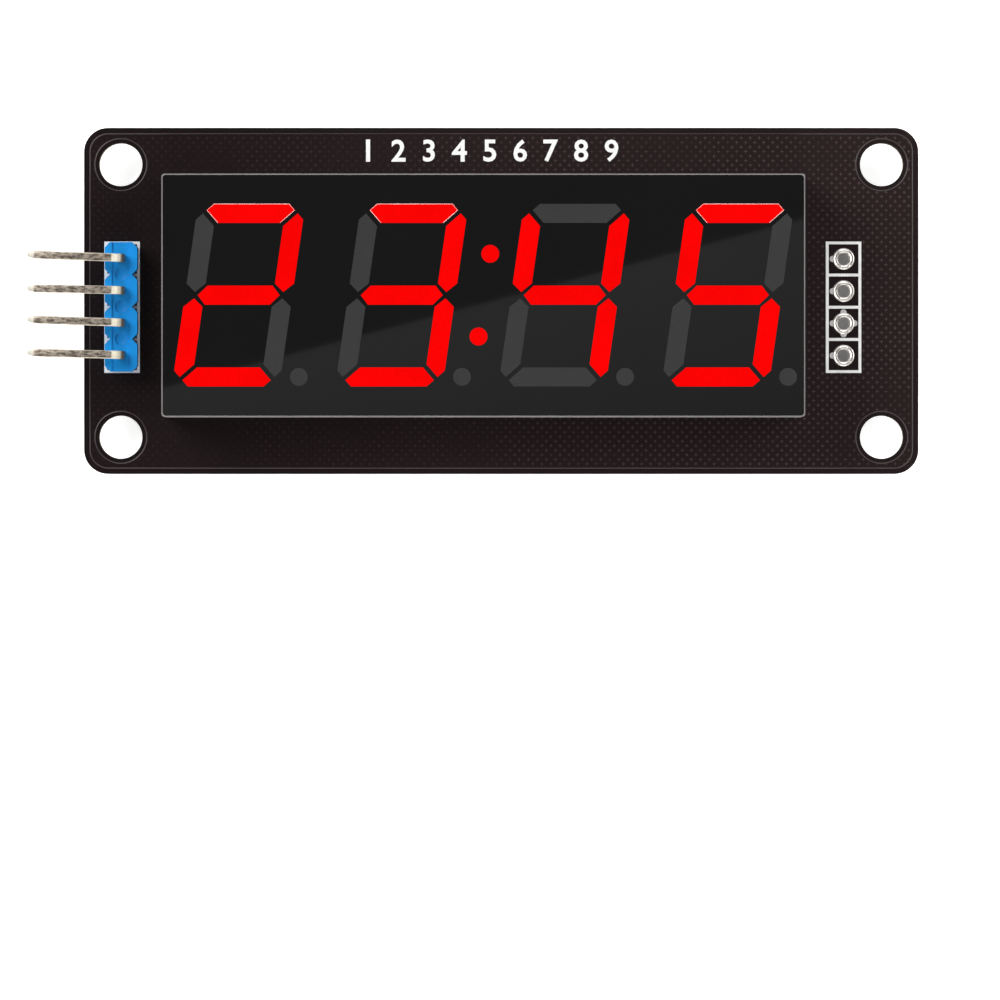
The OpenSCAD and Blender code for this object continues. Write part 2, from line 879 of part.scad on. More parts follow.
module capacitor_ends() {
    color([0.75, 0.75, 0.73]) at_small_parts(capacitor_places) small_ends(capacitor_h);
}

module resistor_bodies() {
    color([0.15, 0.15, 0.16]) at_small_parts(resistor_places) small_block(resistor_h, end_t);
}

module resistor_ends() {
    color([0.75, 0.75, 0.73]) at_small_parts(resistor_places) small_ends(resistor_h);
}

module power_light_base() {
    color([0.85, 0.83, 0.75]) at_small_parts(light_places) small_block(light_base_h, 0);
}

// A clear block that narrows a little towards its top
module power_light_lens() {
    color([0.75, 0.9, 0.75])
    at_small_parts(light_places)
        translate([0, 0, -land_t - light_base_h])
            mirror([0, 0, 1])
                drafted_block(small_w, light_lens_l, light_lens_h, light_lens_draft);
}

circuit_board();
board_plating();
surface_lands();
front_print();
rear_print();
colour_mark();
display_housing();
display_face_film();
colon_dots();
decimal_points();
light_chips();
light_carrier_board();
display_potting();
display_pins();
display_solder();
header_insulator();
header_solder();
driver_chip_body();
driver_chip_leads();
driver_chip_solder();
capacitor_bodies();
capacitor_ends();
resistor_bodies();
resistor_ends();
power_light_base();
power_light_lens();
small_part_solder();
for (i = [1 : header_pins])
    header_pin(i);
for (d = [1 : digits], s = segments)
    segment_window(d, s);
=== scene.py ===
"""Dresses a packed four digit seven segment display module in its finishes, and sets the stage."""

import math

import bmesh
import bpy
import numpy as np
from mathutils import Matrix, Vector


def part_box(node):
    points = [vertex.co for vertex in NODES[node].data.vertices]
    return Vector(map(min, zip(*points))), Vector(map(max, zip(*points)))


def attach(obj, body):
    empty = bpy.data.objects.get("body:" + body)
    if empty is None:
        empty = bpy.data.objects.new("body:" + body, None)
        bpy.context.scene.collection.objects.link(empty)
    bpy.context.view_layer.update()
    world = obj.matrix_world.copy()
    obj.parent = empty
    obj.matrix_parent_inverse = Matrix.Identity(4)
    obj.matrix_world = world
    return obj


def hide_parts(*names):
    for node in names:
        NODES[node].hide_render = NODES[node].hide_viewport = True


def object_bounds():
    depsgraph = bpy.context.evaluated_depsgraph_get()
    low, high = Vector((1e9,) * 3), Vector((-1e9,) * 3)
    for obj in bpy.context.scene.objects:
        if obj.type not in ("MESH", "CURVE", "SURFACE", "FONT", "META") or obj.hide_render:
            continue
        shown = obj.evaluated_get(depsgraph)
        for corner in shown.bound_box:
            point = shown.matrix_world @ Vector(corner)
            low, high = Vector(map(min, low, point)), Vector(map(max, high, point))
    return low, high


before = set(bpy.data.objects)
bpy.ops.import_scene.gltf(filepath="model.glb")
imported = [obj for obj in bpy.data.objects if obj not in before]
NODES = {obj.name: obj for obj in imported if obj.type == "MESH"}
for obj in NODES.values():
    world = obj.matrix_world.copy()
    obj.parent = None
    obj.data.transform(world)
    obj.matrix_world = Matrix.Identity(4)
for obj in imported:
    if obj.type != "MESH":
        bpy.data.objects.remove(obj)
CAD_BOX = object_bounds()

bl_info = {
    "name": "Seven Segment Display Module",
    "version": (1, 0, 0),
    "blender": (4, 5, 0),
    "location": "3D View > Sidebar > Display",
    "description": "Finishes, print, solder and stage for a clock display on its circuit board",
    "category": "Object",
}

MM = 0.001
BODY = "root"
HEADER_PINS = 4
ROW_PINS = 6
LIT = {1: "abged", 2: "abgcd", 3: "fgbc", 4: "afgcd"}
UP, DOWN = 1, -1
BLACK, WHITE = (0, 0, 0), (1, 1, 1)
SQUARE = np.array([(-1, -1), (1, -1), (1, 1), (-1, 1)])
FRAME = 1000
TRACK_RISE = 0.02 * MM
BOARD_CORNER = 1.9 * MM
HOLE_INSET = 2.9 * MM
HOLE_CLEAR = 2.05 * MM
KEY_STEP = 1.5 * MM
SMALL_GAPS = (1 * MM, 1.8 * MM)


def span(node):
    """The lowest and the highest corner of a CAD node, as arrays."""
    low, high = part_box(node)
    return np.array(low), np.array(high)


def points_of(mesh):
    """The vertices of a mesh, as an array with a row for each."""
    flat = np.zeros(len(mesh.vertices) * 3, np.float32)
    mesh.vertices.foreach_get("co", flat)
    return flat.reshape(-1, 3).astype(float)


BOARD_LOW, BOARD_HIGH = span("circuit_board")
HEADER_LOW, HEADER_HIGH = span("header_insulator")
CHIP_LOW, CHIP_HIGH = span("driver_chip_body")
FILM_TOP = float(span("display_face_film")[1][2])
FRONT_Z = float(BOARD_HIGH[2])
REAR_Z = float(BOARD_LOW[2])
FLOOR_Z = float(CAD_BOX[0][2]) - 0.01 * MM
HALF_BOARD = (BOARD_HIGH - BOARD_LOW)[:2] / 2
HEADER_X, HEADER_Y = ((HEADER_LOW + HEADER_HIGH) / 2)[:2]
PITCH = float((HEADER_HIGH - HEADER_LOW)[1]) / HEADER_PINS
SPARE_X = -HEADER_X - 2.9 * MM
PIN_ROWS = [HEADER_Y + (1.5 - k) * PITCH for k in range(HEADER_PINS)]
CHIP_MARK = (4.43, -2.17)


# Sizes and colours that a user would change

def colour(name, description, default):
    """A colour to choose."""
    return bpy.props.FloatVectorProperty(
        name=name, description=description, subtype="COLOR", size=3, min=0, max=1, default=default)


def length(name, description, low, high, default):
    """A length to choose, whose limits and default are given in millimetres."""
    return bpy.props.FloatProperty(name=name, description=description, subtype="DISTANCE",
                                   min=low * MM, max=high * MM, default=default * MM)


def number(name, description, low, high, default):
    """A plain number to choose."""
    return bpy.props.FloatProperty(name=name, description=description, min=low, max=high, default=default)


class BoardSettings(bpy.types.PropertyGroup):
    """The bare board: its mask, copper pour and print."""

    mask: colour("Mask", "Colour of the solder mask over bare laminate", (0.0125, 0.0076, 0.0078))
    mask_over_copper: colour(
        "Mask over copper", "Colour of the solder mask where copper lies under it", (0.0160, 0.0098, 0.0101))
    glint: colour(
        "Pour glint", "Colour of the light caught on the hatched pour's dimples", (0.062, 0.041, 0.042))
    laminate: colour("Laminate", "Colour of the board's cut edge", (0.17, 0.15, 0.105))
    print_white: colour("Print", "Colour of the printed lines", (0.87, 0.87, 0.86))
    hatch_pitch: length("Hatch pitch", "Distance between the lines of the hatched pour", 0.2, 2, 0.505)
    pour_inset: length("Pour inset", "Edge of the copper pour to the edge of the board", 0.2, 2, 0.47)
    track_width: length("Track width", "Width of a track that shows under the mask", 0.05, 1, 0.10)
    numeral_height: length("Numeral height", "Height of the printed numbers over the digits", 0.5, 3, 1.75)


class DisplaySettings(bpy.types.PropertyGroup):
    """The display body, its face and its windows."""

    lit: colour("Lit segment", "Light of a segment that is on", (1.0, 0.0, 0.0))
    dark: colour("Unlit segment", "Colour of a segment that is off", (0.0300, 0.0300, 0.0305))
    face: colour("Face", "Colour of the black face film", (0.0036, 0.0037, 0.0038))
    body: colour("Body", "Colour of the moulded body", (0.22, 0.205, 0.205))
    edge_radius: length("Edge radius", "Radius of the body's moulded edges", 0.01, 0.2, 0.05)


class HeaderSettings(bpy.types.PropertyGroup):
    """The pin header."""

    plastic: colour("Insulator", "Colour of the insulator", (0.0012, 0.28, 0.76))
    pin_corner: length("Pin corner", "Radius of the long edges of a pin", 0.01, 0.2, 0.09)
    edge_radius: length("Edge radius", "Radius of the insulator's moulded edges", 0.01, 0.2, 0.07)


class SolderSettings(bpy.types.PropertyGroup):
    """The solder joints on the rear."""

    tin: colour("Tin", "Colour of solder and tinned copper", (0.72, 0.71, 0.69))
    lean: number("Unevenness", "How far a joint leans and swells to one side, as a share", 0, 0.5, 0.16)


class StageSettings(bpy.types.PropertyGroup):
    """Camera, floor and lamps."""

    pixels_per_mm: number(
        "Pixels to a millimetre", "Scale of the board's front in a 1000 pixel frame", 1, 100, 12.68)
    board_centre: bpy.props.FloatVectorProperty(
        name="Board centre", description="Pixel on which the middle of the board falls",
        size=2, min=0, max=1000, default=(501.2, 300.9))
    camera_height: length("Camera height", "Camera to the board's front", 100, 5000, 850)
    ambient: number("Ambient light", "Share of the light that comes from all round", 0, 1, 0.3)
    overhead: number("Overhead", "Brightness that a polished face sees straight above it", 0, 1, 0.12)
    glare: number("Glare", "Brightness of the card whose edge shows in the display's face", 0, 2, 0.31)


LOOKS = {"board_look": BoardSettings, "display_look": DisplaySettings, "header_look": HeaderSettings,
         "solder_look": SolderSettings, "stage_look": StageSettings}


# Node trees

class Value:
    """An output socket that adds, subtracts and multiplies like a number, with a Math node for each step."""

    def __init__(self, socket):
        self.socket = socket
        self.tree = socket.id_data

    def calc(self, operation, *others):
        """The result of one arithmetic step on this value and others."""
        return put(self.tree, "Math", self, *others, operation=operation)

    def __add__(self, other):
        return self.calc("ADD", other)

    def __sub__(self, other):
        return self.calc("SUBTRACT", other)

    def __mul__(self, other):
        return self.calc("MULTIPLY", other)

    def __abs__(self):
        return self.calc("ABSOLUTE")


def join(socket, value):
    """Links a value to an input socket, or sets a plain number or colour on it."""
    if isinstance(value, Value):
        value.tree.links.new(value.socket, socket)
    else:
        socket.default_value = (*value[:3], 1.0) if socket.type == "RGBA" else value


def put(tree, kind, *slots, output=0, **named):
    """Adds a node and gives one output. Slots fill its first sockets; a name is a setting's or a socket's."""
    node = tree.nodes.new("ShaderNode" + kind)
    for key in [k for k in named if hasattr(node, k)]:
        setattr(node, key, named.pop(key))
    for socket, value in zip(node.inputs, slots):
        join(socket, value)
    for key, value in named.items():
        join(node.inputs[key.replace("_", " ")], value)
    return Value(node.outputs[output])


def outputs_of(node):
    """All outputs of a node, by name."""
    return {output.name: Value(output) for output in node.outputs}


def axes(vector):
    """The three parts of a vector."""
    node = vector.tree.nodes.new("ShaderNodeSeparateXYZ")
    join(node.inputs[0], vector)
    return list(outputs_of(node).values())


def scaled(value, low, high):
    """A value from 0 to 1, mapped to the range from low to high."""
    return put(value.tree, "MapRange", value, To_Min=low, To_Max=high)


def step(value, low, high):
    """A smooth rise from 0 at low to 1 at high, or a fall where low is the larger."""
    start, end = (0.0, 1.0) if low <= high else (1.0, 0.0)
    return put(value.tree, "MapRange", value, interpolation_type="SMOOTHSTEP",
               From_Min=min(low, high), From_Max=max(low, high), To_Min=start, To_Max=end)


def mixed(share, first, second):
    """Two colours mixed by a share."""
    node = share.tree.nodes.new("ShaderNodeMix")
    node.data_type = "RGBA"
    for index, value in ((0, share), (6, first), (7, second)):
        join(node.inputs[index], value)
    return Value(node.outputs[2])


def distance(x, y):
    """The length of the line to a point, from its two parts."""
    return (x * x + y * y).calc("POWER", 0.5)


def box_distance(x, y, middle, half):
    """How far a point lies outside a box, and negative inside it."""
    return (abs(x - middle[0]) - half[0]).calc("MAXIMUM", abs(y - middle[1]) - half[1])


def millimetres(tree, stretch=(1, 1, 1)):
    """Object coordinates counted in millimetres, with a stretch along each axis."""
    return put(tree, "Mapping", put(tree, "TexCoord", output="Object"), Scale=[s / MM for s in stretch])


def noise(tree, scale, detail, stretch=(1, 1, 1), roughness=0.5):
    """Noise with a number of cells to the millimetre."""
    return put(tree, "TexNoise", Vector=millimetres(tree, stretch), Scale=scale, Detail=detail,
               Roughness=roughness)


def node_group(name, inputs, outputs, build):
    """Builds a shared group once: build takes its tree and inputs, and gives a value for each output."""
    tree = bpy.data.node_groups.get(name)
    if tree is not None:
        return tree
    tree = bpy.data.node_groups.new(name, "ShaderNodeTree")
    for label, default in inputs.items():
        kind = "NodeSocketFloat" if isinstance(default, float) else "NodeSocketColor"
        tree.interface.new_socket(name=label, in_out="INPUT", socket_type=kind).default_value = default
    for label, kind in outputs.items():
        tree.interface.new_socket(name=label, in_out="OUTPUT", socket_type="NodeSocket" + kind)
    start, end = tree.nodes.new("NodeGroupInput"), tree.nodes.new("NodeGroupOutput")
    for label, value in build(tree, outputs_of(start)).items():
        join(end.inputs[label], value)
    return tree


def use(tree, group, **values):
    """Places a group in a tree with its own values, and gives its outputs by name."""
    node = tree.nodes.new("ShaderNodeGroup")
    node.node_tree = group
    for key, value in values.items():
        join(node.inputs[key], value)
    return outputs_of(node)


def mottle_group():
    """Two colours in soft clouds with finer specks in them."""

    def build(tree, given):
        clouds = noise(tree, given["Clouds"], 3.0)
        specks = noise(tree, given["Specks"], 2.0)
        share = step(clouds * 0.6 + specks * 0.4, 0.36, 0.64)
        return {"Colour": mixed(share, given["First"], given["Second"]), "Share": share}

    grey = (0.5, 0.5, 0.5, 1.0)
    return node_group("mottled_colour", {"First": grey, "Second": grey, "Clouds": 0.5, "Specks": 6.0},
                      {"Colour": "Color", "Share": "Float"}, build)


def relief_group():
    """A grain of raised specks: noise read as a height, the finer the higher its scale."""

    def build(tree, given):
        height = noise(tree, given["Grain"], 3.0)
        bump = put(tree, "Bump", Height=height, Distance=MM, Strength=given["Height"])
        return {"Normal": bump, "Grain": height}

    return node_group("fine_relief", {"Grain": 10.0, "Height": 0.02},
                      {"Normal": "Vector", "Grain": "Float"}, build)


def pour_group(board):
    """The hatched copper pour under the mask, in the places where the board has it.

    Lines cross at a right angle, turned by 45 degrees. A share of each cell round its middle
    is free of copper. The pour stops short of the board's edge, of the screw holes and of the
    printed pin grids.
    """

    def build(tree, given):
        x, y, _ = axes(millimetres(tree))
        cells_per_mm = math.sqrt(0.5) / (board.hatch_pitch / MM)
        one, other = [abs((t * cells_per_mm).calc("FRACT") - 0.5) for t in (x + y, x - y)]
        far = one.calc("MAXIMUM", other)
        half = HALF_BOARD / MM
        inside = step(box_distance(x, y, (0, 0), half - board.pour_inset / MM), 0.05, -0.05)
        for middle_x in (HEADER_X / MM, SPARE_X / MM):
            grid = box_distance(x, y, (middle_x, HEADER_Y / MM), (1.35, HEADER_PINS * PITCH / MM / 2))
            inside = inside * step(grid, -0.05, 0.05)
        hole, clear = half - HOLE_INSET / MM, HOLE_CLEAR / MM
        inside = inside * step(distance(abs(x) - hole[0], abs(y) - hole[1]), clear - 0.05, clear + 0.05)
        # Spot marks the middle of each cell, where the mask takes a painted highlight.
        spot = step(abs(one - other) + far, 0.36, 0.04)
        return {"Pour": inside, "Clear": step(far, 0.27, 0.2) * inside, "Spot": spot * inside}

    return node_group("hatched_pour", {}, {"Pour": "Float", "Clear": "Float", "Spot": "Float"}, build)


# Finishes

def plug(tree, **values):
    """Links or sets sockets of a material's Principled shader."""
    for key, value in values.items():
        join(tree.nodes["Principled BSDF"].inputs[key.replace("_", " ")], value)


def new_material(name, **shader):
    """A material with one Principled shader whose plain values are set on its own sockets."""
    material = bpy.data.materials.new(name + "_finish")
    material.use_nodes = True
    plug(material.node_tree, **shader)
    return material, material.node_tree


def mottled(tree, first, second, clouds, specks):
    """The outputs of the mottled colour group."""
    return use(tree, mottle_group(), First=first, Second=second, Clouds=clouds, Specks=specks)


def relief(tree, grain, height):
    """The outputs of the fine relief group."""
    return use(tree, relief_group(), Grain=grain, Height=height)


def plain_finish(name, first, second, clouds, rough, specks=8.0, grain=12.0, height=0.01, **shader):
    """A moulded, printed or ceramic surface: clouds of two colours, a fine grain, uneven gloss."""
    material, tree = new_material(name, **shader)
    skin = relief(tree, grain, height)
    plug(tree, Base_Color=mottled(tree, first, second, clouds, specks)["Colour"],
         Roughness=scaled(skin["Grain"], *rough), Normal=skin["Normal"])
    return material


def shaded(tone, factor):
    """A colour made darker or lighter by one factor."""
    return tuple(min(1.0, c * factor) for c in tone)


def mask_material(name, board):
    """Glossy mask over the hatched pour on both faces, and cut laminate on the board's sides. The mask is
    painted darker on the rear and towards the header's end, as painted shade, and the pour's dimples carry
    painted highlights.
    """
    material, tree = new_material(name, Specular_IOR_Level=0.1)
    pour = use(tree, pour_group(board))
    clouds = mottled(tree, BLACK, WHITE, 0.11, 1.7)
    x, y, _ = axes(millimetres(tree))
    normal = axes(put(tree, "NewGeometry", output="True Normal"))[2]
    front = step(normal, -0.1, 0.1)
    # Painted shade: on the rear the mask is painted a tenth as bright as on the front.
    bare, covered = [mixed(front, shaded(tone, 0.1), tone) for tone in (board.mask, board.mask_over_copper)]
    mask = mixed(pour["Clear"], mixed(pour["Pour"], bare, covered), bare)
    # Painted shade: the mask darkens towards the header's end of the board, below x = 0 mm.
    painted_shade_left = scaled(step(x, -30.0, 0.0), 0.45, 0.0)
    mask = mixed(painted_shade_left, mask, (0.002, 0.0012, 0.0012))
    # Painted highlights on the pour's dimples: brighter towards the right on the front and the top on the
    # rear, and weaker on the rear.
    along = mixed(front, step(y, -8.0, 6.0), step(x, -32.0, 24.0))
    glint_share = (along + 0.22) * (clouds["Share"] + 0.35) * scaled(front, 0.3, 1.0)
    face = mixed(pour["Spot"] * glint_share, mask, board.glint)
    threads = noise(tree, 1.6, 4.0, (1, 1, 9))
    laminate = mixed(step(threads, 0.35, 0.65), shaded(board.laminate, 0.6), shaded(board.laminate, 1.35))
    side = step(abs(normal), 0.7, 0.5)
    height = noise(tree, 5.0, 3.0) * 0.10 - pour["Clear"] * 0.5
    plug(tree, Base_Color=mixed(side, face, laminate), Roughness=scaled(side, 0.3, 0.75),
         Normal=put(tree, "Bump", Height=height, Distance=0.02 * MM, Strength=0.5))
    return material


def metal_material(name, tone, dull, dull_share, rough, metallic, grain=9.0, height=0.012, streak=(1, 1, 1)):
    """Tinned metal: bright skin with duller patches, drawn out along the streak's long axis."""
    material, tree = new_material(name, Metallic=metallic)
    patches = noise(tree, 1.7, 5.0, streak, 0.65)
    share = step(patches, 0.62 - 0.3 * dull_share, 0.80 - 0.3 * dull_share)
    plug(tree, Base_Color=mixed(share, tone, dull), Roughness=scaled(share, *rough),
         Normal=relief(tree, grain, height)["Normal"])
    return material


def chip_material(name):
    """Moulded resin with a fine sandy grain, and a polished floor in the round pin mark, painted near black
    as painted shade.
    """
    material, tree = new_material(name, Specular_IOR_Level=0.15)
    x, y, _ = axes(millimetres(tree))
    mark = step(distance(x - CHIP_MARK[0], y - CHIP_MARK[1]), 0.53, 0.50)
    sand = mottled(tree, (0.0120, 0.0085, 0.0085), (0.0195, 0.0140, 0.0138), 0.4, 16.0)
    # Painted shade: the pin mark's floor is painted near black.
    plug(tree, Base_Color=mixed(mark, sand["Colour"], (0.0008, 0.0007, 0.0007)),
         Roughness=scaled(sand["Share"], 0.55, 0.75) - mark * 0.5, Normal=relief(tree, 18.0, 0.04)["Normal"])
    return material


def header_pin_material(name):
    """Tinned wire: mottled grey-brown along the run, paler at its tip, with painted highlights in pale cream
    on its sides and on the bend, and painted shade in a dark band where the wire rises into the bend.
    """
    material, tree = new_material(name)
    blotches = noise(tree, 2.1, 6.0, (0.9, 2.2, 2.2), 0.72)
    run = mixed(step(blotches, 0.40, 0.62), (0.46, 0.40, 0.325), (0.085, 0.066, 0.052))
    up = axes(put(tree, "NewGeometry", output="Normal"))[2]
    # Painted highlight: faces that do not face up or down are mixed towards pale cream.
    run = mixed(step(abs(up), 0.95, 0.75) * 0.7, run, (0.74, 0.68, 0.55))
    along = put(tree, "Attribute", output="Fac", attribute_name="along")
    tip, tail = step(along, 0.925, 0.94), step(along, -0.12, -0.18)
    not_tail = step(along, -0.15, -0.05)
    # Painted highlight: the bend is pale cream; the tip is paler too.
    pale = (step(along, 0.105, 0.085) * not_tail).calc("MAXIMUM", tip)
    cream = mottled(tree, (0.82, 0.78, 0.65), (0.70, 0.65, 0.50), 1.5, 9.0)["Colour"]
    cream = mixed(tip, cream, (0.50, 0.475, 0.40))
    wire = mixed(tail, mixed(pale, run, cream), (0.66, 0.66, 0.61))
    # Painted shade: a dark band where the wire rises into the outer curve of the bend.
    wire = mixed(step(along, 0.034, 0.016) * not_tail, wire, (0.15, 0.14, 0.11))
    plug(tree, Base_Color=wire, Metallic=scaled(pale.calc("MAXIMUM", tail), 0.85, 0.15),
         Roughness=scaled(blotches, 0.28, 0.50), Normal=relief(tree, 7.0, 0.02)["Normal"])
    return material


def lit_material(name, display):
    """Resin with the light chip on: an even red glow in faint clouds."""
    material, tree = new_material(name, Emission_Strength=1.0, Roughness=0.45, Specular_IOR_Level=0.02,
                                  Base_Color=(0.02, 0.0, 0.0))
    glow = mottled(tree, display.lit, shaded(display.lit, 0.90), 0.25, 3.0)
    plug(tree, Emission_Color=glow["Colour"], Normal=relief(tree, 6.0, 0.004)["Normal"])
    return material


def finish_of(name):
    """The material of that name, which an earlier operator or this one has made."""
    found = bpy.data.materials.get(name + "_finish")
    if found is not None:
        return found
    scene = bpy.context.scene
    board, display, tin = scene.board_look, scene.display_look, scene.solder_look.tin
    copper, white, blue = board.mask_over_copper, board.print_white, scene.header_look.plastic
    own = {"board_mask": (mask_material, board), "lit_resin": (lit_material, display),
           "chip_plastic": (chip_material,), "header_pin_tin": (header_pin_material,)}
    plain = {
        # Tracks and the pour's edge: mask painted lighter than over copper, a painted highlight on each
        # ridge, weaker on the front's edge.
        "track_mask": (shaded(copper, 3.2), shaded(copper, 2.0), 0.3, (0.25, 0.4)),
        "edge_mask": (shaded(copper, 2.0), shaded(copper, 1.3), 0.3, (0.25, 0.4)),
        "white_print": (white, shaded(white, 0.86), 1.5, (0.45, 0.7), dict(grain=14.0, height=0.02)),
        "red_print": ((0.98, 0.002, 0.002), (0.90, 0.001, 0.001), 2.0, (0.5, 0.7),
                      dict(Specular_IOR_Level=0.05)),
        "grey_print": ((0.31, 0.31, 0.305), (0.27, 0.27, 0.265), 2.0, (0.5, 0.7)),
        "pale_mark": ((0.30, 0.10, 0.10), (0.22, 0.075, 0.075), 3.0, (0.5, 0.7)),
        "pale_rim": ((0.98, 0.62, 0.58), (0.90, 0.40, 0.36), 1.0, (0.4, 0.6)),
        "housing_plastic": (display.body, shaded(display.body, 0.9), 0.4, (0.4, 0.55)),
        "face_film": (display.face, shaded(display.face, 0.85), 0.09, (0.010, 0.018),
                      dict(grain=0.7, height=0.00003)),
        "dark_resin": (display.dark, shaded(display.dark, 0.94), 0.3, (0.25, 0.4),
                       dict(grain=9.0, height=0.002, Specular_IOR_Level=0.2)),
        "header_plastic": (blue, shaded(blue, 0.86), 0.5, (0.3, 0.5),
                           dict(grain=8.0, height=0.015, Specular_IOR_Level=0.3)),
        "chip_mark": ((0.082, 0.056, 0.030), (0.045, 0.031, 0.020), 1.2, (0.6, 0.8),
                      dict(specks=6.0, Specular_IOR_Level=0.2)),
        "tan_ceramic": ((0.36, 0.235, 0.12), (0.60, 0.41, 0.265), 0.22, (0.35, 0.55), dict(specks=5.0)),
        "resistor_black": ((0.045, 0.040, 0.036), (0.030, 0.027, 0.024), 0.4, (0.3, 0.45)),
        "light_base": ((0.62, 0.62, 0.54), (0.70, 0.70, 0.62), 0.4, (0.4, 0.6)),
        "light_green": ((0.0, 0.36, 0.16), (0.01, 0.48, 0.24), 3.0, (0.3, 0.5)),
        "light_lens": ((0.62, 0.64, 0.56), (0.90, 0.91, 0.84), 1.5, (0.15, 0.35),
                       dict(specks=9.0, grain=8.0, Transmission_Weight=0.12, IOR=1.5)),
        "carrier_laminate": ((0.40, 0.33, 0.14), (0.47, 0.40, 0.19), 0.4, (0.35, 0.55)),
        "potting_resin": ((0.58, 0.53, 0.41), (0.64, 0.60, 0.48), 0.15, (0.2, 0.4)),
        "light_chip": ((0.45, 0.28, 0.05), (0.55, 0.36, 0.10), 4.0, (0.25, 0.4)),
    }
    metal = {
        "solder": (shaded(tin, 1.3), shaded(tin, 0.42), 0.5, (0.14, 0.34), 0.8, 2.6, 0.10),
        "fillet_tin": ((0.47, 0.46, 0.41), (0.20, 0.20, 0.18), 0.6, (0.25, 0.45), 0.55, 5.0, 0.08),
        "tinned_copper": (shaded(tin, 1.1), shaded(tin, 0.8), 0.3, (0.22, 0.4), 0.5),
        "lead_tin": ((0.86, 0.84, 0.80), (0.60, 0.57, 0.54), 0.3, (0.30, 0.48), 0.5, 9.0, 0.012, (1, 0.4, 1)),
        "end_metal": ((0.74, 0.71, 0.62), (0.33, 0.31, 0.27), 0.5, (0.25, 0.45), 0.4, 6.0, 0.06),
        # Capacitor ends: tin painted bright cream, partly a painted highlight.
        "cap_metal": ((0.93, 0.87, 0.76), (0.62, 0.55, 0.47), 0.25, (0.25, 0.4), 0.3, 6.0, 0.04),
        "pad_tin": ((0.78, 0.745, 0.70), (0.50, 0.475, 0.44), 0.4, (0.22, 0.4), 1.0, 6.0, 0.02),
        # Display pin ends: tin painted near white, a painted highlight on each joint's tip.
        "pin_end": ((0.93, 0.93, 0.90), (0.70, 0.69, 0.66), 0.3, (0.2, 0.35), 0.3),
    }
    if name in own:
        maker, *values = own[name]
        return maker(name, *values)
    if name in metal:
        return metal_material(name, *metal[name])
    first, second, clouds, rough, *options = plain[name]
    return plain_finish(name, first, second, clouds, rough, **(options[0] if options else {}))


def dress(**finishes):
    """Gives CAD nodes a finish each, with their shape and place left as they are."""
    for node, finish in finishes.items():
        mesh = NODES[node].data
        mesh.materials.clear()
        mesh.materials.append(finish_of(finish))


# Meshes from arrays

def link(name, data):
    """A new object at the origin, in the scene's own collection."""
    item = bpy.data.objects.new(name, data)
    bpy.context.scene.collection.objects.link(item)
    return item


def mark_points(mesh, name, values):
    """Gives each vertex of a mesh a number that a material reads by its name."""
    mesh.attributes.new(name, "FLOAT", "POINT").data.foreach_set("value", np.array(values, np.float32))


def add_piece(name, points, faces, finish, smooth=True, merge=0.0):
    """A closed piece from arrays, with its faces turned outwards, which rides on the module."""
    mesh = bpy.data.meshes.new(name)
    mesh.from_pydata(np.asarray(points, float).reshape(-1, 3), [], faces)
    work = bmesh.new()
    work.from_mesh(mesh)
    if merge:
        bmesh.ops.remove_doubles(work, verts=work.verts, dist=merge)
    bmesh.ops.recalc_face_normals(work, faces=work.faces)
    work.to_mesh(mesh)
    work.free()
    mesh.polygons.foreach_set("use_smooth", np.full(len(mesh.polygons), smooth))
    mesh.materials.append(finish_of(finish))
    piece = link(name, mesh)
    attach(piece, BODY)
    return piece


def tube_faces(rings, sides, closed=False, first=0):
    """Quads between rings of points, with a cap on each end unless the tube closes on itself."""
    ring = np.arange(rings if closed else rings - 1)[:, None]
    side = np.arange(sides)[None, :]
    after, beside = (ring + 1) % rings, (side + 1) % sides
    quads = np.stack([ring * sides + side, ring * sides + beside,
                      after * sides + beside, after * sides + side], axis=-1).reshape(-1, 4) + first
    caps = [] if closed else [
        list(range(first + sides - 1, first - 1, -1)),
        list(range(first + (rings - 1) * sides, first + rings * sides))]
    return quads.tolist() + caps


def many_tubes(count, rings, sides, closed=False):
    """The faces of equal tubes whose points follow one another."""
    return [face for k in range(count) for face in tube_faces(rings, sides, closed, k * rings * sides)]


def sweep(path, across, up, profile):
    """Rings of a tube: each point of the path plus the profile's two parts along across and up."""
    return path[:, None, :] + (profile[..., 0:1] * across[:, None, :] + profile[..., 1:2] * up[:, None, :])


def circle(steps):
    """Angles evenly spread round a circle."""
    return np.linspace(0, 2 * np.pi, steps, endpoint=False)


def plan_boxes(node, gap_x, gap_y):
    """The plan boxes (low x, low y, high x, high y) of a CAD node's separate bodies.

    The bodies stand in columns. Columns are further apart than gap_x, and the bodies of a
    column are further apart than gap_y.
    """

    def runs(values, gap):
        values = np.unique(np.round(values, 6))
        return [(run[0], run[-1]) for run in np.split(values, np.nonzero(np.diff(values) > gap)[0] + 1)]

    cloud, found = points_of(NODES[node].data), []
    for left, right in runs(cloud[:, 0], gap_x):
        inside = cloud[(cloud[:, 0] >= left - 1e-6) & (cloud[:, 0] <= right + 1e-6)]
        found += [(left, low, right, high) for low, high in runs(inside[:, 1], gap_y)]
    return found


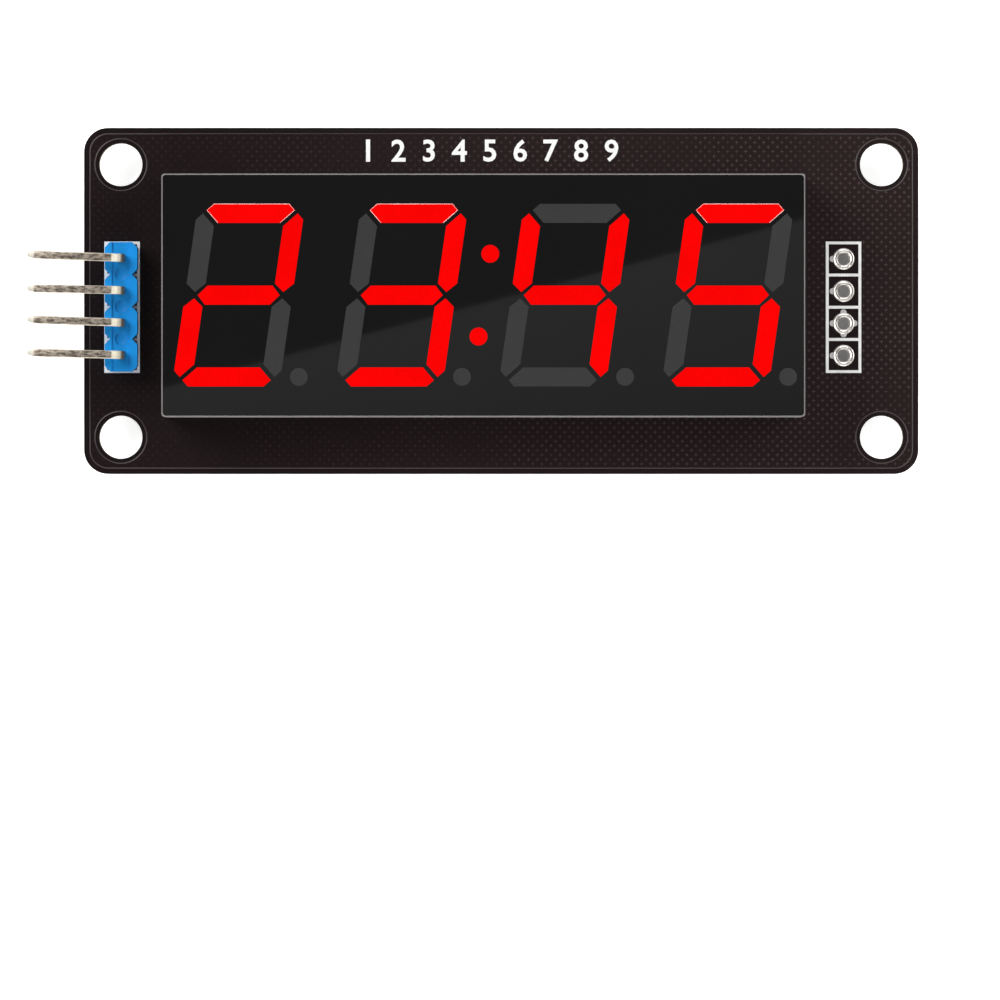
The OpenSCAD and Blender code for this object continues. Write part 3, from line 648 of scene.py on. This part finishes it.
def softened(node, radius, finish):
    """A merged copy of a CAD node with its sharp edges rounded, which stands for that node."""
    mesh = NODES[node].data.copy()
    mesh.name = node + "_soft"
    work = bmesh.new()
    work.from_mesh(mesh)
    bmesh.ops.remove_doubles(work, verts=work.verts, dist=1e-6)
    bmesh.ops.dissolve_limit(work, angle_limit=math.radians(1), verts=work.verts, edges=work.edges)
    work.to_mesh(mesh)
    work.free()
    mesh.materials.clear()
    mesh.materials.append(finish_of(finish))
    mesh.polygons.foreach_set("use_smooth", np.full(len(mesh.polygons), True))
    piece = link(node + "_soft", mesh)
    bevel = piece.modifiers.new("round_edges", "BEVEL")
    bevel.width, bevel.segments = radius, 2
    bevel.limit_method, bevel.angle_limit = "ANGLE", math.radians(35)
    even = piece.modifiers.new("even_faces", "WEIGHTED_NORMAL")
    even.mode, even.weight = "FACE_AREA", 100
    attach(piece, BODY)
    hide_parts(node)
    return piece


def turned_pieces(name, places, profile, finish, uneven, stretch=(1, 1), power=2.0, seed=3):
    """Many turned pieces on the board's rear, in one mesh: a profile (radius, height) about each place.

    The plan is a superellipse: round for a power of 2, squarer above it, and stretched along X
    and Y. Each piece swells to one side, pinches to an oval and leans, by shares drawn for it.
    Heights run away from the board. The profile starts at the rim and ends at the pole.
    """
    places, profile = np.asarray(places, float), np.asarray(profile, float) * MM
    draw, sides = np.random.default_rng(seed).uniform(-1, 1, (6, len(places), 1, 1)), 28
    turn = circle(sides)[None, None, :]
    height = profile[None, :, 1, None]
    high = height / profile[:, 1].max()
    pinch = 0.5 * draw[0] * np.cos(turn - 3 * draw[1]) + 0.35 * draw[2] * np.cos(2 * turn)
    swell = 1 + uneven * pinch * high
    plan = (np.abs(np.cos(turn)) ** power + np.abs(np.sin(turn)) ** power) ** (-1 / power)
    radius = profile[None, :, 0, None] * swell * plan
    lean = uneven * 0.25 * MM * high ** 2
    points = np.stack([radius * np.cos(turn) * stretch[0] + lean * draw[3] + places[:, 0, None, None],
                       radius * np.sin(turn) * stretch[1] + lean * draw[4] + places[:, 1, None, None],
                       REAR_Z - height * (1 - 0.5 * uneven * np.abs(draw[5])) + 0 * turn], axis=-1)
    return add_piece(name, points, many_tubes(len(places), len(profile), sides), finish)


def ring_pieces(name, places, section, base_z, side, finish):
    """Many closed rings in one mesh: a closed section (radius, height) carried round each place."""
    section = np.asarray(section, float) * MM
    turn = circle(40)[:, None]
    ring = np.stack([section[:, 0] * np.cos(turn), section[:, 0] * np.sin(turn),
                     side * section[:, 1] + 0 * turn], axis=-1)
    centres = np.array([(x, y, base_z) for x, y in places])
    faces = many_tubes(len(places), len(turn), len(section), True)
    return add_piece(name, centres[:, None, None, :] + ring[None], faces, finish)


def ribbons(name, lines, width, height, base_z, side, finish, slot):
    """Low rounded ridges along lines on a face: an arch swept along each line.

    The arch is half a wave wide, width across and height high. Lines are point arrays and
    a flag that says whether they close. Ends are squared off.
    """
    wave = np.linspace(-0.5, 0.5, 7)
    arch = np.stack([wave * width, np.cos(wave * np.pi) * height], axis=-1)
    profile = np.concatenate([arch, [[0.3 * width, -height * 0.2], [-0.3 * width, -height * 0.2]]])
    rings, faces, first = [], [], 0
    for line, closed in lines:
        path = np.column_stack([line, np.full(len(line), base_z)])
        ahead = np.roll(path, -1, 0) - np.roll(path, 1, 0) if closed else np.gradient(path, axis=0)
        ahead /= np.linalg.norm(ahead, axis=1, keepdims=True)
        up = np.tile([0.0, 0.0, side], (len(path), 1))
        rings.append(sweep(path, np.cross(ahead, up), up, profile))
        faces += tube_faces(len(path), len(profile), closed, first)
        first += len(path) * len(profile)
    return add_piece(name, np.concatenate(rings), faces, finish)


def rounded_loop(half_x, half_y, radius, steps=10):
    """A rectangle with round corners as a closed line: four quarter turns joined by straights."""
    quarter = np.linspace(0, np.pi / 2, steps)
    arcs = []
    for k, (sx, sy) in enumerate(((1, 1), (-1, 1), (-1, -1), (1, -1))):
        turn = quarter + k * np.pi / 2
        middle = np.array([sx * (half_x - radius), sy * (half_y - radius)])
        arcs.append(middle + radius * np.stack([np.cos(turn), np.sin(turn)], axis=-1))
    return np.concatenate(arcs)


def numerals(name, marks, height, base_z, side, finish, depth=0.03 * MM, weight=0.018):
    """Printed numbers, raised by their depth: each mark is a number, its middle and its turn.

    The outline comes from the built-in typeface and is made a mesh before it is placed. On the
    rear the outline is turned over, so that it reads right from behind.
    """
    shapes, faces, first = [], [], 0
    for text, middle, turn in marks:
        curve = bpy.data.curves.new("numeral", "FONT")
        curve.body, curve.size, curve.extrude, curve.resolution_u = text, 1.0, 0.5, 3
        curve.offset = weight
        holder = link("numeral", curve)
        shape = bpy.data.meshes.new_from_object(holder.evaluated_get(bpy.context.evaluated_depsgraph_get()))
        flat = points_of(shape)
        low, high = flat.min(0), flat.max(0)
        flat = (flat - (low + high) / 2) * height / (high - low)[1]
        flat[:, 2] = np.where(flat[:, 2] > 0, 1.0, 0.0) * depth * side + base_z
        flat[:, 0] *= side
        cos, sin = math.cos(turn), math.sin(turn)
        flat[:, :2] = flat[:, :2] @ np.array([[cos, sin], [-sin, cos]]) + middle
        shapes.append(flat)
        faces += [[first + v for v in polygon.vertices] for polygon in shape.polygons]
        first += len(flat)
        bpy.data.objects.remove(holder)
        bpy.data.curves.remove(curve)
        bpy.data.meshes.remove(shape)
    return add_piece(name, np.concatenate(shapes), faces, finish, smooth=False, merge=1e-7)


# Operators: one for each piece or group of like pieces

class MODULE_OT_stage(bpy.types.Operator):
    """Sets the camera straight above the board, the pale floor, the soft lamps and the dim cards"""

    bl_idname = "module.set_stage"
    bl_label = "Set the stage"

    def execute(self, context):
        stage = context.scene.stage_look
        pixel = MM / stage.pixels_per_mm
        camera = bpy.data.cameras.new("camera")
        camera.sensor_width = 36.0
        camera.lens = camera.sensor_width * stage.camera_height / (FRAME * pixel)
        camera.clip_start, camera.clip_end = 0.05, 10.0
        holder = link("camera", camera)
        across, down = (FRAME / 2 - np.array(stage.board_centre)) * pixel
        holder.location = (across, -down, FRONT_Z + stage.camera_height)
        context.scene.camera = holder
        self.add_floor()
        self.add_world(context, stage)
        self.add_lamps()
        self.add_glare_card(stage, np.array(holder.location))
        self.add_card("shade_card", [(-0.35, -0.4, -0.5), (-0.35, 0.4, -0.5),
                                     (-0.35, 0.4, 0.01), (-0.35, -0.4, 0.01)], 0.0)
        context.scene.view_settings.view_transform = "Standard"
        return {"FINISHED"}

    def add_floor(self):
        """A pale sheet with a shadow, whiter where it is seen than where it lights the object, and with a
        painted shadow where it is seen under the middle of the board.
        """
        reach = 1.5
        mesh = bpy.data.meshes.new("floor")
        mesh.from_pydata([(x * reach, y * reach, FLOOR_Z) for x, y in SQUARE], [], [(0, 1, 2, 3)])
        material, tree = new_material("floor", Roughness=0.9, Specular_IOR_Level=0.0,
                                      Base_Color=(0.86, 0.86, 0.86), Emission_Color=WHITE)
        rays = outputs_of(tree.nodes.new("ShaderNodeLightPath"))
        in_camera = rays["Is Camera Ray"]
        seen = in_camera.calc("MAXIMUM", rays["Is Glossy Ray"].calc("MAXIMUM", rays["Is Transmission Ray"]))
        x, y, _ = axes(millimetres(tree))
        # Painted shadow: seen under the board more than about 5 mm in from its edges, as through its holes,
        # the floor glows far less.
        seen_glow_painted_shadow = scaled(step(box_distance(x, y, (0, 0), HALF_BOARD / MM), -5.4, -4.6), 0.03, 0.70)
        steep = abs(axes(put(tree, "NewGeometry", output="Incoming"))[2])
        in_mirror = scaled(step(steep, 0.80, 0.97), 0.75, 0.08)
        plug(tree, Emission_Strength=seen * mixed(in_camera, in_mirror, seen_glow_painted_shadow))
        shader = Value(tree.nodes["Principled BSDF"].outputs[0])
        behind = put(tree, "NewGeometry", output="Backfacing").calc("MAXIMUM", rays["Is Shadow Ray"])
        blend = put(tree, "MixShader", behind, shader, put(tree, "BsdfTransparent"))
        join(tree.nodes["Material Output"].inputs["Surface"], blend)
        mesh.materials.append(material)
        floor = link("floor", mesh)

    def add_world(self, context, stage):
        """Soft light from all round. What is seen or mirrored is white at the sides and dim overhead."""
        world = bpy.data.worlds.new("studio")
        world.use_nodes = True
        tree = world.node_tree
        rays = outputs_of(tree.nodes.new("ShaderNodeLightPath"))
        height = axes(put(tree, "TexCoord", output="Generated"))[2]
        overhead = scaled(step(height, 0.80, 0.97), 1.0, stage.overhead)
        below = scaled(step(height, -0.80, -0.97), 1.0, 0.4)
        mirrored = rays["Is Glossy Ray"].calc("MAXIMUM", rays["Is Transmission Ray"])
        level = scaled(mirrored, stage.ambient, overhead.calc("MINIMUM", below))
        back = tree.nodes["Background"]
        join(back.inputs["Strength"], level.calc("MAXIMUM", rays["Is Camera Ray"]))
        join(back.inputs["Color"], WHITE)
        context.scene.world = world

    def add_lamps(self):
        """Large soft lamps off the camera's mirror direction, and two for the underside."""
        lamps = (
            ("key", (-0.42, 0.30, 0.50), 0.40, 4.4),
            ("fill", (0.45, 0.10, 0.42), 0.40, 2.3),
            ("front_fill", (0.05, -0.50, 0.45), 0.40, 1.6),
            ("under_key", (0.36, 0.32, -0.46), 0.32, 4.1),
            ("under_fill", (-0.42, -0.12, -0.50), 0.40, 2.1),
        )
        for name, place, size, power in lamps:
            lamp = bpy.data.lights.new(name, "AREA")
            lamp.shape, lamp.size, lamp.energy = "SQUARE", size, power
            holder = link(name, lamp)
            aim = -np.array(place) / np.linalg.norm(place)
            holder.location = place
            holder.rotation_euler = (math.acos(-aim[2]), 0, math.atan2(aim[1], aim[0]) - math.pi / 2)

    def add_glare_card(self, stage, camera):
        """A dim card, mirrored by the face below the line that the photo shows across the digits.

        The line's two pixels are found on the face. The card has the camera's height, where
        a point of it is mirrored half way between it and the camera.
        """
        pixel = MM / stage.pixels_per_mm * (camera[2] - FILM_TOP) / stage.camera_height
        left, right = (np.array([(163, 388), (803, 219)]) - FRAME / 2) * (pixel, -pixel) + camera[:2]
        near = np.array([2 * left - right, 2 * right - left])
        outline = np.concatenate([near, near[::-1] - (0, 0.03)])
        corners = np.column_stack([2 * outline - camera[:2], np.full(4, camera[2])])
        self.add_card("glare_card", corners, stage.glare + stage.overhead, (1.0, 1.0, 0.35, 0.35))

    def add_card(self, name, corners, brightness, fade=(1.0, 1.0, 1.0, 1.0)):
        """A card that only mirrors show, with a share of its brightness at each corner."""
        mesh = bpy.data.meshes.new(name)
        mesh.from_pydata(corners, [], [(0, 1, 2, 3)])
        mark_points(mesh, "fade", fade)
        material, tree = new_material(name, Roughness=1.0, Specular_IOR_Level=0.0, Base_Color=BLACK,
                                      Emission_Color=WHITE)
        share = put(tree, "Attribute", output="Fac", attribute_name="fade")
        plug(tree, Emission_Strength=share * brightness)
        mesh.materials.append(material)
        card = link(name, mesh)
        card.visible_camera = card.visible_diffuse = False
        card.visible_shadow = card.visible_transmission = False


class MODULE_OT_board(bpy.types.Operator):
    """Dresses the board, its lands and print, and adds the ridges that copper makes in the mask"""

    bl_idname = "module.dress_board"
    bl_label = "Circuit board"

    def execute(self, context):
        board = context.scene.board_look
        dress(circuit_board="board_mask", board_plating="tinned_copper", surface_lands="tinned_copper",
              front_print="white_print", rear_print="white_print", colour_mark="red_print")
        inset = board.pour_inset
        edge = (rounded_loop(*(HALF_BOARD - inset), BOARD_CORNER - inset), True)
        turn = circle(48)
        ring = HOLE_CLEAR * np.stack([np.cos(turn), np.sin(turn)], axis=-1)
        rings = [(ring + (HALF_BOARD - HOLE_INSET) * corner, True) for corner in SQUARE]
        size = board.track_width, TRACK_RISE
        ribbons("front_pour_edge", [edge] + rings, *size, FRONT_Z, UP, "edge_mask", "board_mask")
        ribbons("rear_pour_edge", [edge], *size, REAR_Z, DOWN, "track_mask", "board_mask")
        self.add_rear_tracks(board)
        return {"FINISHED"}

    def add_rear_tracks(self, board):
        """Raised tracks on the rear: slanted ones over the upper pin row, and a few level ones."""
        left = [(8.3, 8.0, 2.2), (7.1, 7.8, 2.6), (2.5, 8.4, 1.9), (1.35, 8.4, 1.6)]
        right = [(-3.5, 8.5, 1.6), (-4.6, 8.45, 2.0), (-5.6, 8.3, 2.3), (-6.5, 8.6, 2.0), (-7.3, 8.3, 1.8)]
        level = [(5.5, 1.6, 6.72), (-7.7, -8.4, 2.64), (-7.7, -8.4, 1.74)]
        lines = [[(x, y), (x - rise, y + rise)] for x, y, rise in left]
        lines += [[(x, y), (x + rise, y + rise)] for x, y, rise in right]
        lines += [[(start, y), (end, y)] for start, end, y in level] + [[(6.5, 6.7), (5.5, 7.7)]]
        lines = [(np.array(line) * MM, False) for line in lines]
        ribbons("rear_tracks", lines, board.track_width, TRACK_RISE, REAR_Z, DOWN, "track_mask", "board_mask")


class MODULE_OT_numbers(bpy.types.Operator):
    """Prints plain numbers over the digits and beside the pin rows"""

    bl_idname = "module.print_numbers"
    bl_label = "Printed numbers"

    def execute(self, context):
        tall = context.scene.board_look.numeral_height
        low, high = span("colour_mark")

        def numbered(places):
            return [(str(k + 1), place, 0) for k, place in enumerate(places)]

        row = np.linspace(-9.6 * MM, 9.6 * MM, 9)
        title = numbered([(x - 0.9 * MM, 11.85 * MM) for x in row])
        numerals("front_numbers", title, tall, FRONT_Z, UP, "white_print")
        title = numbered([(-x - 1.2 * MM, 11.95 * MM) for x in row])
        pins = [mark for x in (24.3, -26.9) for mark in numbered([(x * MM, y) for y in PIN_ROWS])]
        middle = (low + high)[1] / 2
        key = numbered([(low[0] - 1.0 * MM, middle + k * KEY_STEP) for k in (3, 2, 1, 0, -1)])
        for name, marks, share in (("rear_title_numbers", title, 1.0), ("rear_pin_numbers", pins, 0.72),
                                   ("rear_key_numbers", key, 0.6)):
            numerals(name, marks, share * tall, REAR_Z, DOWN, "white_print")
        self.add_key_squares(low, high)
        return {"FINISHED"}

    def add_key_squares(self, low, high):
        """Grey ink over four of the key's squares, and pale red ink over the ring at the first pin."""
        ink = float(span("rear_print")[0][2])
        lap = 0.01 * MM
        plan = ((low + high) / 2)[:2] + ((high - low)[:2] / 2 + lap) * SQUARE
        points = [(x, y + k * KEY_STEP, z)
                  for k in (-1, 1, 2, 3) for z in (ink + lap, ink - 0.5 * lap) for x, y in plan]
        add_piece("key_squares", points, many_tubes(4, 2, 4), "grey_print", smooth=False)
        section = [(0.17, -0.01), (0.17, 0.005), (0.31, 0.005), (0.31, -0.01)]
        place = (CHIP_HIGH[0] + 0.5 * MM, span("driver_chip_leads")[0][1])
        ring_pieces("first_pin_ring", [place], section, ink, DOWN, "pale_mark")


class MODULE_OT_display(bpy.types.Operator):
    """Dresses the display: body, face film, lit and unlit windows, light chips and back"""

    bl_idname = "module.dress_display"
    bl_label = "Display"

    def execute(self, context):
        radius = context.scene.display_look.edge_radius
        softened("display_housing", radius, "housing_plastic")
        dress(display_face_film="face_film")
        dress(**{f"digit_{digit}_segment_{segment}": "lit_resin" if segment in lit else "dark_resin"
                 for digit, lit in LIT.items() for segment in "abcdefg"})
        self.add_pale_rims()
        dress(colon_dots="lit_resin", decimal_points="dark_resin", light_chips="light_chip",
              light_carrier_board="carrier_laminate", display_potting="potting_resin", display_pins="pin_end")
        return {"FINISHED"}

    def add_pale_rims(self):
        """Hairlines of light round the top windows of three digits: a thin ridge along each outline."""
        lines = []
        for digit in (1, 2, 4):
            cloud = points_of(NODES[f"digit_{digit}_segment_a"].data)
            top = cloud[cloud[:, 2] > cloud[:, 2].max() - 0.01 * MM][:, :2]
            top = np.unique(np.round(top, 7), axis=0)
            middle = (top.max(0) + top.min(0)) / 2
            top = top[np.argsort(np.arctan2(*(top - middle).T))]
            lines.append((middle + (top - middle) * 0.99, False))
        level = float(span("digit_1_segment_a")[1][2])
        ribbons("segment_rims", lines, 0.045 * MM, 0.004 * MM, level, UP, "pale_rim", "lit_resin")


class MODULE_OT_header(bpy.types.Operator):
    """Adds the header's rounded insulator and its bent, tinned pins"""

    bl_idname = "module.add_header"
    bl_label = "Pin header"

    def execute(self, context):
        header = context.scene.header_look
        softened("header_insulator", header.edge_radius, "header_plastic")
        for index in range(1, HEADER_PINS + 1):
            self.add_pin(f"header_pin_{index}", header.pin_corner)
        return {"FINISHED"}

    def add_pin(self, node, corner):
        """A square wire with round edges: up, a quarter turn, then out to a chisel tip.

        The path is two straights joined by an arc. The profile is a rounded square that
        narrows evenly along the tip and a little at the tail.
        """
        low, high = span(node)
        cloud = points_of(NODES[node].data)
        foot = cloud[cloud[:, 2] < low[2] + 0.05 * MM]
        tail = foot.mean(0)
        away = cloud[cloud[:, 0] < low[0] + 0.08 * MM].mean(0) - tail
        lean, reach = math.atan2(away[1], -away[0]), math.hypot(away[0], away[1])
        width = 2 * (foot.max(0) - tail)[1] / (math.cos(lean) + abs(math.sin(lean)))
        turn_r, tip = 0.35 * MM + width / 2, 0.63 * MM
        run_z = high[2] - width / 2
        quarter = np.linspace(0, np.pi / 2, 13)
        rise = [(0, low[2]), (0, low[2] + 0.12 * MM), (0, 0), (0, run_z - turn_r - 0.1 * MM)]
        arc = turn_r * np.stack([np.cos(quarter), np.sin(quarter)], axis=-1) + (-turn_r, run_z - turn_r)
        run = [(x, run_z) for x in (-turn_r - 0.2 * MM, -reach / 2, tip - reach, 0.15 * MM - reach, -reach)]
        line = np.concatenate([rise, arc, run])
        angle = np.concatenate([np.zeros(len(rise)), quarter, np.full(len(run), np.pi / 2)])[:, None]
        share = np.ones(len(line))
        share[0], share[-2], share[-1] = 0.62, 0.62, 0.45
        out = np.array([-math.cos(lean), math.sin(lean), 0])
        level = np.array([[math.sin(lean), math.cos(lean), 0]])
        top = np.array([0, 0, 1.0])
        path = np.array([tail[0], tail[1], 0]) - line[:, :1] * out + line[:, 1:] * top
        inner = np.cos(angle) * out - np.sin(angle) * top
        profile = rounded_loop(width / 2, width / 2, corner, steps=5)
        rings = sweep(path, level, inner, profile[None] * share[:, None, None])
        faces = tube_faces(len(path), len(profile))
        piece = add_piece(node + "_wire", rings, faces, "header_pin_tin")
        along = np.clip(-line[:, 0] / reach, 0, 1) + np.where(line[:, 1] < run_z - 0.8 * MM, -0.2, 0.0)
        mark_points(piece.data, "along", np.repeat(along, len(profile)))
        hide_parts(node)


class MODULE_OT_rear_parts(bpy.types.Operator):
    """Dresses the driver chip, its leads and the small parts on the rear"""

    bl_idname = "module.dress_rear_parts"
    bl_label = "Rear parts"

    def execute(self, context):
        dress(driver_chip_solder="solder", power_light_base="light_base", power_light_lens="light_lens",
              small_part_solder="solder")
        for node, radius, finish, slot in (
                ("driver_chip_body", 0.05, "chip_plastic", "chip_plastic"),
                ("driver_chip_leads", 0.03, "lead_tin", "lead_tin"),
                ("capacitor_bodies", 0.03, "tan_ceramic", "tan_ceramic"),
                ("capacitor_ends", 0.02, "cap_metal", "end_metal"),
                ("resistor_bodies", 0.02, "resistor_black", "resistor_black"),
                ("resistor_ends", 0.02, "end_metal", "end_metal")):
            softened(node, radius * MM, finish)
        self.add_marks()
        self.add_green_die()
        return {"FINISHED"}

    def add_marks(self):
        """Plain numbers on the chip, and on each resistor across its length."""
        deep, proud = 0.015 * MM, 0.004 * MM
        face = float(CHIP_LOW[2]) + deep - proud
        for name, text, y, tall in (("chip_numbers", "1234567", 0.66, 1.30),
                                    ("chip_small_numbers", "1234567890123", -0.93, 0.66)):
            marks = [(text, (-2.57 * MM, y * MM), 0)]
            numerals(name, marks, tall * MM, face, DOWN, "chip_mark", deep, 0.0)
        top = float(span("resistor_bodies")[0][2]) + deep - proud
        marks = [("123", ((left + right) / 2, (low + high) / 2), -math.pi / 2)
                 for left, low, right, high in plan_boxes("resistor_bodies", *SMALL_GAPS)]
        numerals("resistor_numbers", marks, 0.42 * MM, top, DOWN, "white_print", deep)

    def add_green_die(self):
        """The green chip that shows through one side of the power light's lens."""
        low, high = span("power_light_lens")
        middle, half = (low + high) / 2, (high - low) / 2
        size = np.array([0.20, 0.30, 0.25]) * half
        place = middle + np.array([-0.72, -0.2, 0]) * half
        place[2] = low[2] + size[2] * 0.9
        corners = place + size * [(x, y, z) for z in (-1, 1) for x, y in SQUARE]
        add_piece("green_die", corners, tube_faces(2, 4), "light_green", smooth=False)


class MODULE_OT_solder(bpy.types.Operator):
    """Adds the solder joints of the display's pins and of the header, the mounds and the pad tin"""

    bl_idname = "module.add_solder"
    bl_label = "Solder joints"

    def execute(self, context):
        lean = context.scene.solder_look.lean
        low, high = span("display_pins")
        inset = 0.25 * MM
        along = np.linspace(low[0] + inset, high[0] - inset, ROW_PINS)
        places = [(x, y) for y in (low[1] + inset, high[1] - inset) for x in along]
        cone = [(0.735, 0.0), (0.742, 0.05), (0.735, 0.10), (0.69, 0.26), (0.60, 0.48), (0.50, 0.67),
                (0.43, 0.78), (0.38, 0.80), (0.34, 0.72), (0.315, 0.64), (0.29, 0.80), (0.26, 0.96),
                (0.20, 1.02), (0.10, 1.05), (0.02, 1.05)]
        tall = -span("display_solder")[0][2] / MM
        joints = turned_pieces("display_joints", places, np.array(cone) * (1.0, tall / 1.05), "solder", lean)
        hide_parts("display_solder")
        places = [(HEADER_X, y) for y in PIN_ROWS]
        dome = [(0.865, 0.0), (0.86, 0.045), (0.82, 0.09), (0.76, 0.20), (0.69, 0.36), (0.60, 0.54),
                (0.50, 0.70), (0.40, 0.82), (0.34, 0.87), (0.31, 0.88), (0.29, 0.84), (0.27, 0.74),
                (0.02, 0.74)]
        tall = min(-span("header_solder")[0][2], -span("header_pin_1")[0][2] - 0.05 * MM) / MM
        joints = turned_pieces("header_joints", places, np.array(dome) * (1.0, tall / 0.88), "fillet_tin",
                               lean, seed=5)
        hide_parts("header_solder")
        self.add_toes(0.5 * lean)
        self.add_fillets(0.5 * lean)
        self.add_pad_tinning()
        return {"FINISHED"}

    def add_toes(self, uneven):
        """Low oval mounds of solder over the ends of the chip's leads, out to the ends of their lands."""
        low, high = span("driver_chip_solder")
        half_w, half_l, land_end = 0.37, 0.46, 0.09 * MM
        places = []
        for left, _, right, top in plan_boxes("driver_chip_leads", 0.6 * MM, 3 * MM):
            outer = high[1] + land_end if top > CHIP_HIGH[1] else low[1] - land_end
            places.append(((left + right) / 2, outer - math.copysign(half_l * MM, outer)))
        mound = [(1.0, 0.0), (0.99, 0.07), (0.93, 0.14), (0.8, 0.20), (0.6, 0.25), (0.4, 0.275), (0.2, 0.285),
                 (0.02, 0.287)]
        toes = turned_pieces("chip_toes", places, mound, "solder", uneven, (half_w, half_l), 2.3, seed=9)
        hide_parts("driver_chip_solder")

    def add_fillets(self, uneven):
        """Concave mounds of solder under both ends of each small part, a little wider than the part."""
        places = [((left + right) / 2, end)
                  for node in ("capacitor_ends", "resistor_ends", "power_light_base")
                  for left, low, right, high in plan_boxes(node, *SMALL_GAPS) for end in (low, high)]
        mound = [(1.0, 0.0), (0.99, 0.07), (0.94, 0.10), (0.82, 0.13), (0.66, 0.18), (0.5, 0.25),
                 (0.34, 0.33), (0.18, 0.38), (0.02, 0.40)]
        fillets = turned_pieces("small_part_fillets", places, mound, "fillet_tin", uneven, (0.53, 0.52), 4.0,
                                seed=13)
        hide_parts("small_part_solder")

    def add_pad_tinning(self):
        """Tin that stands up in two low ridges, at the hole and at the rim of each spare land."""
        places = [(SPARE_X, y) for y in PIN_ROWS]
        ridges = [(0.50, -0.02), (0.50, 0.075), (0.53, 0.105), (0.565, 0.105), (0.60, 0.07), (0.635, 0.058),
                  (0.685, 0.058), (0.72, 0.075), (0.765, 0.10), (0.80, 0.095), (0.835, 0.065), (0.85, 0.03),
                  (0.85, -0.02)]
        ring_pieces("front_pad_tinning", places, ridges, FRONT_Z, UP, "pad_tin")
        dome = [(0.48, -0.02), (0.48, 0.08), (0.50, 0.15), (0.56, 0.175), (0.64, 0.16), (0.72, 0.12),
                (0.79, 0.07), (0.84, 0.03), (0.85, -0.02)]
        ring_pieces("rear_pad_tinning", places, dome, REAR_Z, DOWN, "pad_tin")


OPERATORS = (MODULE_OT_stage, MODULE_OT_board, MODULE_OT_numbers, MODULE_OT_display, MODULE_OT_header,
             MODULE_OT_rear_parts, MODULE_OT_solder)


class MODULE_PT_panel(bpy.types.Panel):
    """Lists the module's operators and settings"""

    bl_idname = "MODULE_PT_panel"
    bl_label = "Seven Segment Display Module"
    bl_space_type = "VIEW_3D"
    bl_region_type = "UI"
    bl_category = "Display"

    def draw(self, context):
        for operator in OPERATORS:
            self.layout.operator(operator.bl_idname)
        for look, group in LOOKS.items():
            for name in group.__annotations__:
                self.layout.prop(getattr(context.scene, look), name)


def register():
    for cls in (*LOOKS.values(), *OPERATORS, MODULE_PT_panel):
        bpy.utils.register_class(cls)
    for look, group in LOOKS.items():
        setattr(bpy.types.Scene, look, bpy.props.PointerProperty(type=group))


def unregister():
    for look in LOOKS:
        delattr(bpy.types.Scene, look)
    for cls in reversed((*LOOKS.values(), *OPERATORS, MODULE_PT_panel)):
        bpy.utils.unregister_class(cls)


def main():
    register()
    bpy.ops.module.set_stage()
    bpy.ops.module.dress_board()
    bpy.ops.module.print_numbers()
    bpy.ops.module.dress_display()
    bpy.ops.module.add_header()
    bpy.ops.module.dress_rear_parts()
    bpy.ops.module.add_solder()


if __name__ == "__main__":
    main()
